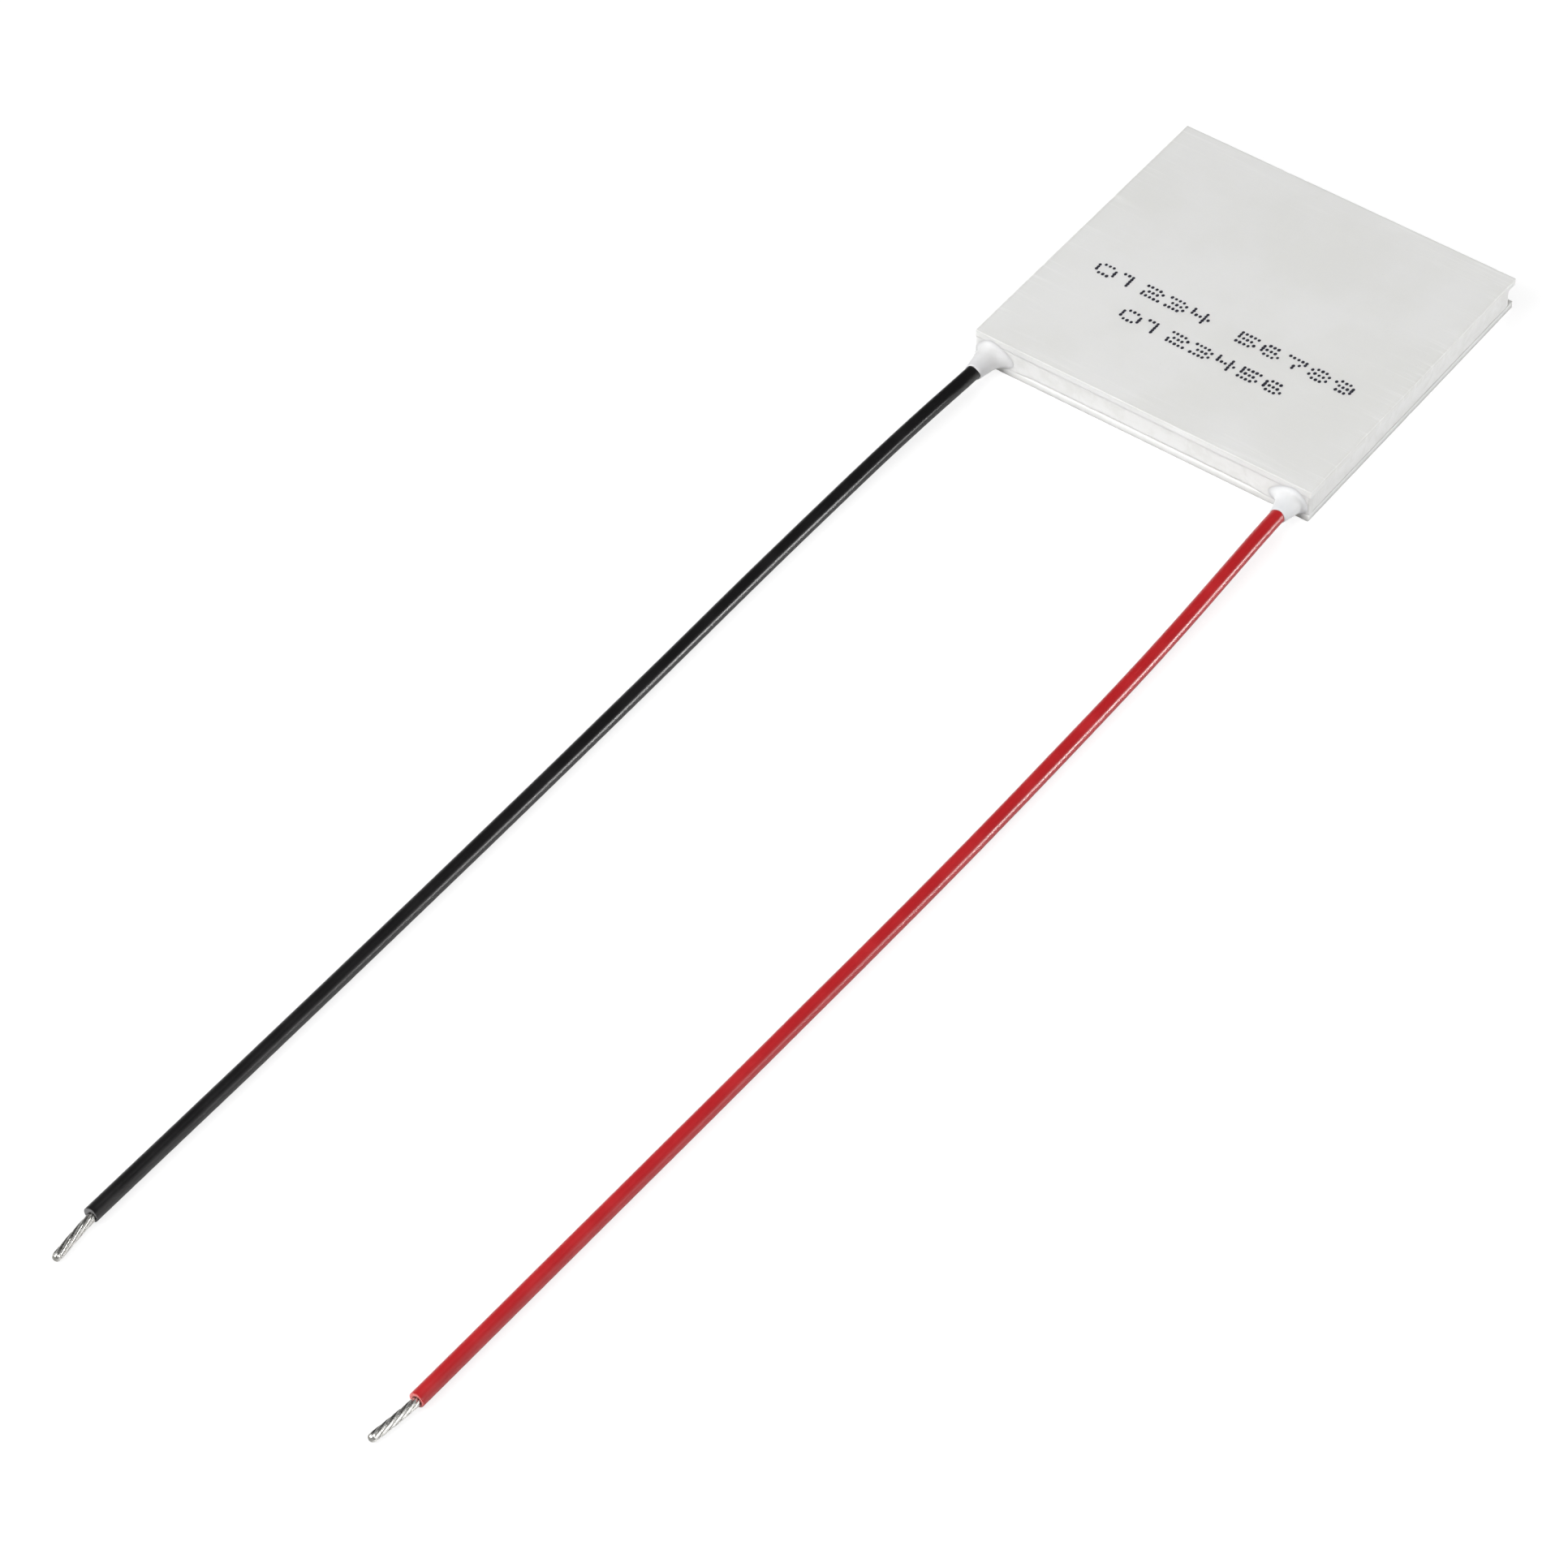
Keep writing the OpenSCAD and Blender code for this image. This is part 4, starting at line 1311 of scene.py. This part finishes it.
@dataclass
class EdgeSealant:
    """The bead of silicone between the plates, all round the edge."""

    reach: float = 1.4 * MM
    # Insets of the bead's foot on the hot plate and of its top under the cold plate
    front_inset: Pair = (0.2 * MM, 0.02 * MM)
    side_inset: Pair = (0.04 * MM, 0.1 * MM)
    hollow: float = 0.02 * MM
    # Waves of the smoothing: their height, and their lengths along the bead
    wave_mm: float = 0.011
    wave_lengths_mm: tuple[float, ...] = (0.55, 0.9, 1.7, 3.3)
    # The flush patch round a lead: how far it reaches out and in from the lead
    pad: Pair = (2.6 * MM, 5.0 * MM)
    corner_reach: float = 0.8 * MM
    streak_reach: float = 2.2 * MM
    seed: int = 3
    outline: Outline = field(default_factory=lambda: Outline(110, 6, 0.3 * MM, 1.3 * MM))

    def lead_share(self, x: np.ndarray, y: np.ndarray) -> np.ndarray:
        """Say how much each point belongs to the pressed-in patch round a lead.

        It is 1 within the cone's root, and falls smoothly to 0 over the flare, which is
        wider towards the module's middle.

        Args:
            x: the points' X.
            y: the points' Y.

        Returns:
            A share from 0 to 1 for each point.
        """
        low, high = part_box("positive_inner_conductor")
        past = np.abs(x) - (low.x + high.x) / 2
        wide = np.where(past < 0, self.pad[1], self.pad[0])
        share = np.clip((wide - np.abs(past)) / (0.55 * wide), 0, 1)
        return share**2 * (3 - 2 * share) * (y < 0)

    def build(self) -> None:
        """Carry the bead's section round the edge.

        Its outer face leans out from its foot to its top, hollowed by a parabola over its
        height, is smeared by slow waves along its length, and is flush round each lead and
        at the front corners.
        """
        low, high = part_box("hot_side_plate")
        half = ((high.x - low.x) / 2, (high.y - low.y) / 2)
        bottom, top = high.z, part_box("cold_side_plate")[0].z
        share_x, share_y, way = self.outline.stations()
        chance = np.random.default_rng(SEED + self.seed)
        level = np.linspace(-1, 1, 13)[None]
        steps = (np.diff(share * size, append=0)
                 for share, size in zip((share_x, share_y), half))
        length = np.cumsum(np.hypot(*steps))[:, None]
        waves = sum(
            chance.uniform(0.4, 1) * np.sin(
                length / (wave * MM) + chance.uniform(*PHASE) + 1.4 * level)
            for wave in self.wave_lengths_mm) * self.wave_mm * MM
        front = (way < -math.pi / 4)[:, None]
        edge_x, edge_y = share_x[:, None] * half[0], share_y[:, None] * half[1]
        from_corner = np.hypot(np.abs(edge_x) - half[0], edge_y + half[1])
        pillar = 0.75 * np.exp(-((from_corner / self.corner_reach) ** 2))
        patch = np.maximum(np.where(front, self.lead_share(edge_x, edge_y), 0.0), pillar)
        foot, head = (np.where(front, *insets) for insets in zip(self.front_inset,
                                                                 self.side_inset))
        inset = foot + (head - foot) * ((1 + level) / 2) ** 0.8
        outer = (inset * (1 - 0.97 * patch) + self.hollow * (1 - level**2) * (1 - patch)
                 + np.abs(waves) * (1 - 0.8 * patch))
        inner = np.full((len(share_x), 4), self.reach)
        z_outer = (bottom + top) / 2 + level * (top - bottom) / 2 + 0 * outer
        z_inner = np.broadcast_to(
            [top, top * 0.7 + bottom * 0.3, top * 0.3 + bottom * 0.7, bottom], inner.shape)
        x, y = self.outline.offset(half, np.hstack([outer, inner]))
        grid = np.stack([x, y, np.hstack([z_outer, z_inner])], axis=-1)
        corner = np.hypot(grid[..., 0] - half[0], grid[..., 1] + half[1])
        fields = {"streak": np.exp(-((corner / self.streak_reach) ** 2)) + 0.06}
        piece = surface("edge_sealant_bead", grid, SILICONE, ring_rows=True, fields=fields,
                        sharp_deg=50)
        stand_in(piece, "perimeter_sealant")


@dataclass(frozen=True)
class Couples:
    """The tabs, solder, legs and conductors that the plates and the bead enclose."""

    finishes: tuple[tuple[str, Finish], ...] = (
        ("p_type_legs", P_TYPE), ("n_type_legs", N_TYPE), ("tab", COPPER), ("solder", SOLDER),
        ("inner_conductor", CONDUCTOR),
    )

    def dress(self) -> None:
        """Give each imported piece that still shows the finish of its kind."""
        inside = [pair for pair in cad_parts.items() if not pair[1].hide_render]
        for name, node in inside:
            next(finish for word, finish in self.finishes if word in name).put_on(node)
        LOG.info("inside the module: %d packed pieces dressed", len(inside))


# ---- Studio ----


@dataclass(frozen=True)
class StudioCamera:
    """A camera that looks down on the module from the front right, level within 3 degrees."""

    azimuth: float = 32.97
    elevation: float = 45.95
    roll: float = 2.75
    aim: Triple = (-0.97 * MM, -80.84 * MM, 0.0)
    distance: float = 616.06 * MM
    lens: float = 148.82

    def build(self) -> None:
        """Place the camera and make it the scene's."""
        a, e, r = (math.radians(v) for v in (self.azimuth, self.elevation, self.roll))
        back = Vector((math.sin(a) * math.cos(e), -math.cos(a) * math.cos(e), math.sin(e)))
        level = Vector((math.cos(a), math.sin(a), 0))
        above = back.cross(level)
        right = math.cos(r) * level + math.sin(r) * above
        up = math.cos(r) * above - math.sin(r) * level
        data = bpy.data.cameras.new("studio_camera")
        data.lens, data.sensor_width = self.lens, 36.0
        data.clip_start, data.clip_end = 0.01, 20.0
        camera = bpy.data.objects.new("studio_camera", data)
        place = Matrix.Translation(Vector(self.aim) + back * self.distance)
        camera.matrix_world = place @ Matrix((right, up, back)).transposed().to_4x4()
        bpy.context.scene.collection.objects.link(camera)
        bpy.context.scene.camera = camera


@dataclass(frozen=True)
class Softbox:
    """A rectangular lamp that faces a point."""

    name: str
    place: Triple
    target: Triple
    size: Pair
    radiance: float

    def build(self) -> None:
        """Hang the lamp. Its power is radiance x pi x its area."""
        data = bpy.data.lights.new(self.name, "AREA")
        data.shape = "RECTANGLE"
        data.size, data.size_y = self.size
        data.energy = self.radiance * math.pi * self.size[0] * self.size[1]
        lamp = bpy.data.objects.new(self.name, data)
        place = Vector(self.place)
        turn = (Vector(self.target) - place).to_track_quat("-Z", "Y")
        lamp.matrix_world = Matrix.Translation(place) @ turn.to_matrix().to_4x4()
        lamp.visible_camera = False
        bpy.context.scene.collection.objects.link(lamp)


@dataclass(frozen=True)
class Studio:
    """A white table in a tent that is lit in front and dark behind.

    The tent has a dark opening for the camera. What the camera sees of the room is white.
    """

    front: Triple = (-0.45, -0.89, 0.0)
    opening: Triple = (0.378, -0.583, 0.719)
    front_light: float = 0.52
    back_light: float = 0.05
    opening_light: float = 0.2
    floor_size: float = 8.0
    lamps: tuple[Softbox, ...] = (
        Softbox("key_softbox", (-0.30, -0.55, 0.50), (0.0, -0.05, 0.0), (0.5, 0.4), 8.4),
        Softbox("top_softbox", (0.05, -0.12, 0.75), (0.0, -0.06, 0.0), (0.4, 0.4), 2.6),
        Softbox("side_softbox", (0.48, -0.10, 0.36), (0.0, -0.02, 0.0), (0.3, 0.3), 3.6),
        Softbox("gloss_softbox", (0.331, 0.190, 0.029), (0.0, -0.06, 0.029), (0.06, 0.056), 57.0),
    )

    def build(self) -> None:
        """Set the room's light, the lamps and the floor."""
        scene = bpy.context.scene
        scene.view_settings.view_transform = "Standard"
        scene.world = bpy.data.worlds.new("studio_room")
        scene.world.use_nodes = True
        tree = scene.world.node_tree
        tree.nodes.clear()
        way = add(tree, "TexCoord").outputs["Generated"]
        room, hole = (
            add(tree, "MapRange",
                {"From Min": start, "From Max": stop, "To Min": there, "To Max": here},
                {"Value": add(tree, "VectorMath", {1: Vector(towards).normalized()}, {0: way},
                              operation="DOT_PRODUCT")}, **SMOOTH)
            for towards, start, stop, there, here in (
                (self.front, -0.25, 0.35, self.back_light, self.front_light),
                (self.opening, 0.88, 0.94, 1.0, self.opening_light)))
        dimmed = add(tree, "Math", None, {0: room, 1: hole}, operation="MULTIPLY")
        seen = add(tree, "LightPath").outputs["Is Camera Ray"]
        light = add(tree, "Math", None, {0: dimmed, 1: seen}, operation="MAXIMUM")
        shade = add(tree, "Background", {"Color": (1.0, 1.0, 1.0, 1.0)}, {"Strength": light})
        add(tree, "OutputWorld", links={"Surface": shade})
        for lamp in self.lamps:
            lamp.build()
        half = self.floor_size / 2
        mesh = bpy.data.meshes.new("white_table")
        corners = [(x * half, y * half, 0) for x, y in ((-1, -1), (1, -1), (1, 1), (-1, 1))]
        mesh.from_pydata(corners, [], [(0, 1, 2, 3)])
        floor = bpy.data.objects.new("white_table", mesh)
        bpy.context.scene.collection.objects.link(floor)
        PaleFloor("white_acrylic_table").put_on(floor)


def main() -> None:
    """Build the camera, the leads, the plates and the sealant, dress the rest, and light it."""
    logging.basicConfig(level=logging.INFO, format="%(name)s: %(message)s")
    StudioCamera().build()
    Lead(Polarity.NEGATIVE, NEGATIVE_ROUTE, 0.142, BLACK_PVC, SILICONE_ON_BLACK, "black_insulation",
         StrippedEnd((0.12 * MM, 0.16 * MM), (0.42 * MM, 5.75 * MM, 0.1 * MM), 13 * MM),
         SealCone(3.3 * MM)).build()
    Lead(Polarity.POSITIVE, POSITIVE_ROUTE, 0.1415, RED_PVC, SILICONE_ON_RED, "red_insulation",
         StrippedEnd((0.02 * MM, 0.1 * MM), (-0.78 * MM, 5.75 * MM, 0.15 * MM), 9 * MM),
         SealCone(2.6 * MM)).build()
    CeramicPlate("hot_side_plate", seed=1, edge_white=0.25, foot_grime=0.45).build()
    CeramicPlate("cold_side_plate", seed=2, edge_grime=0.2).build()
    EdgeSealant().build()
    PrintedDigits().build()
    Couples().dress()
    Studio().build()


if __name__ == "__main__":
    main()
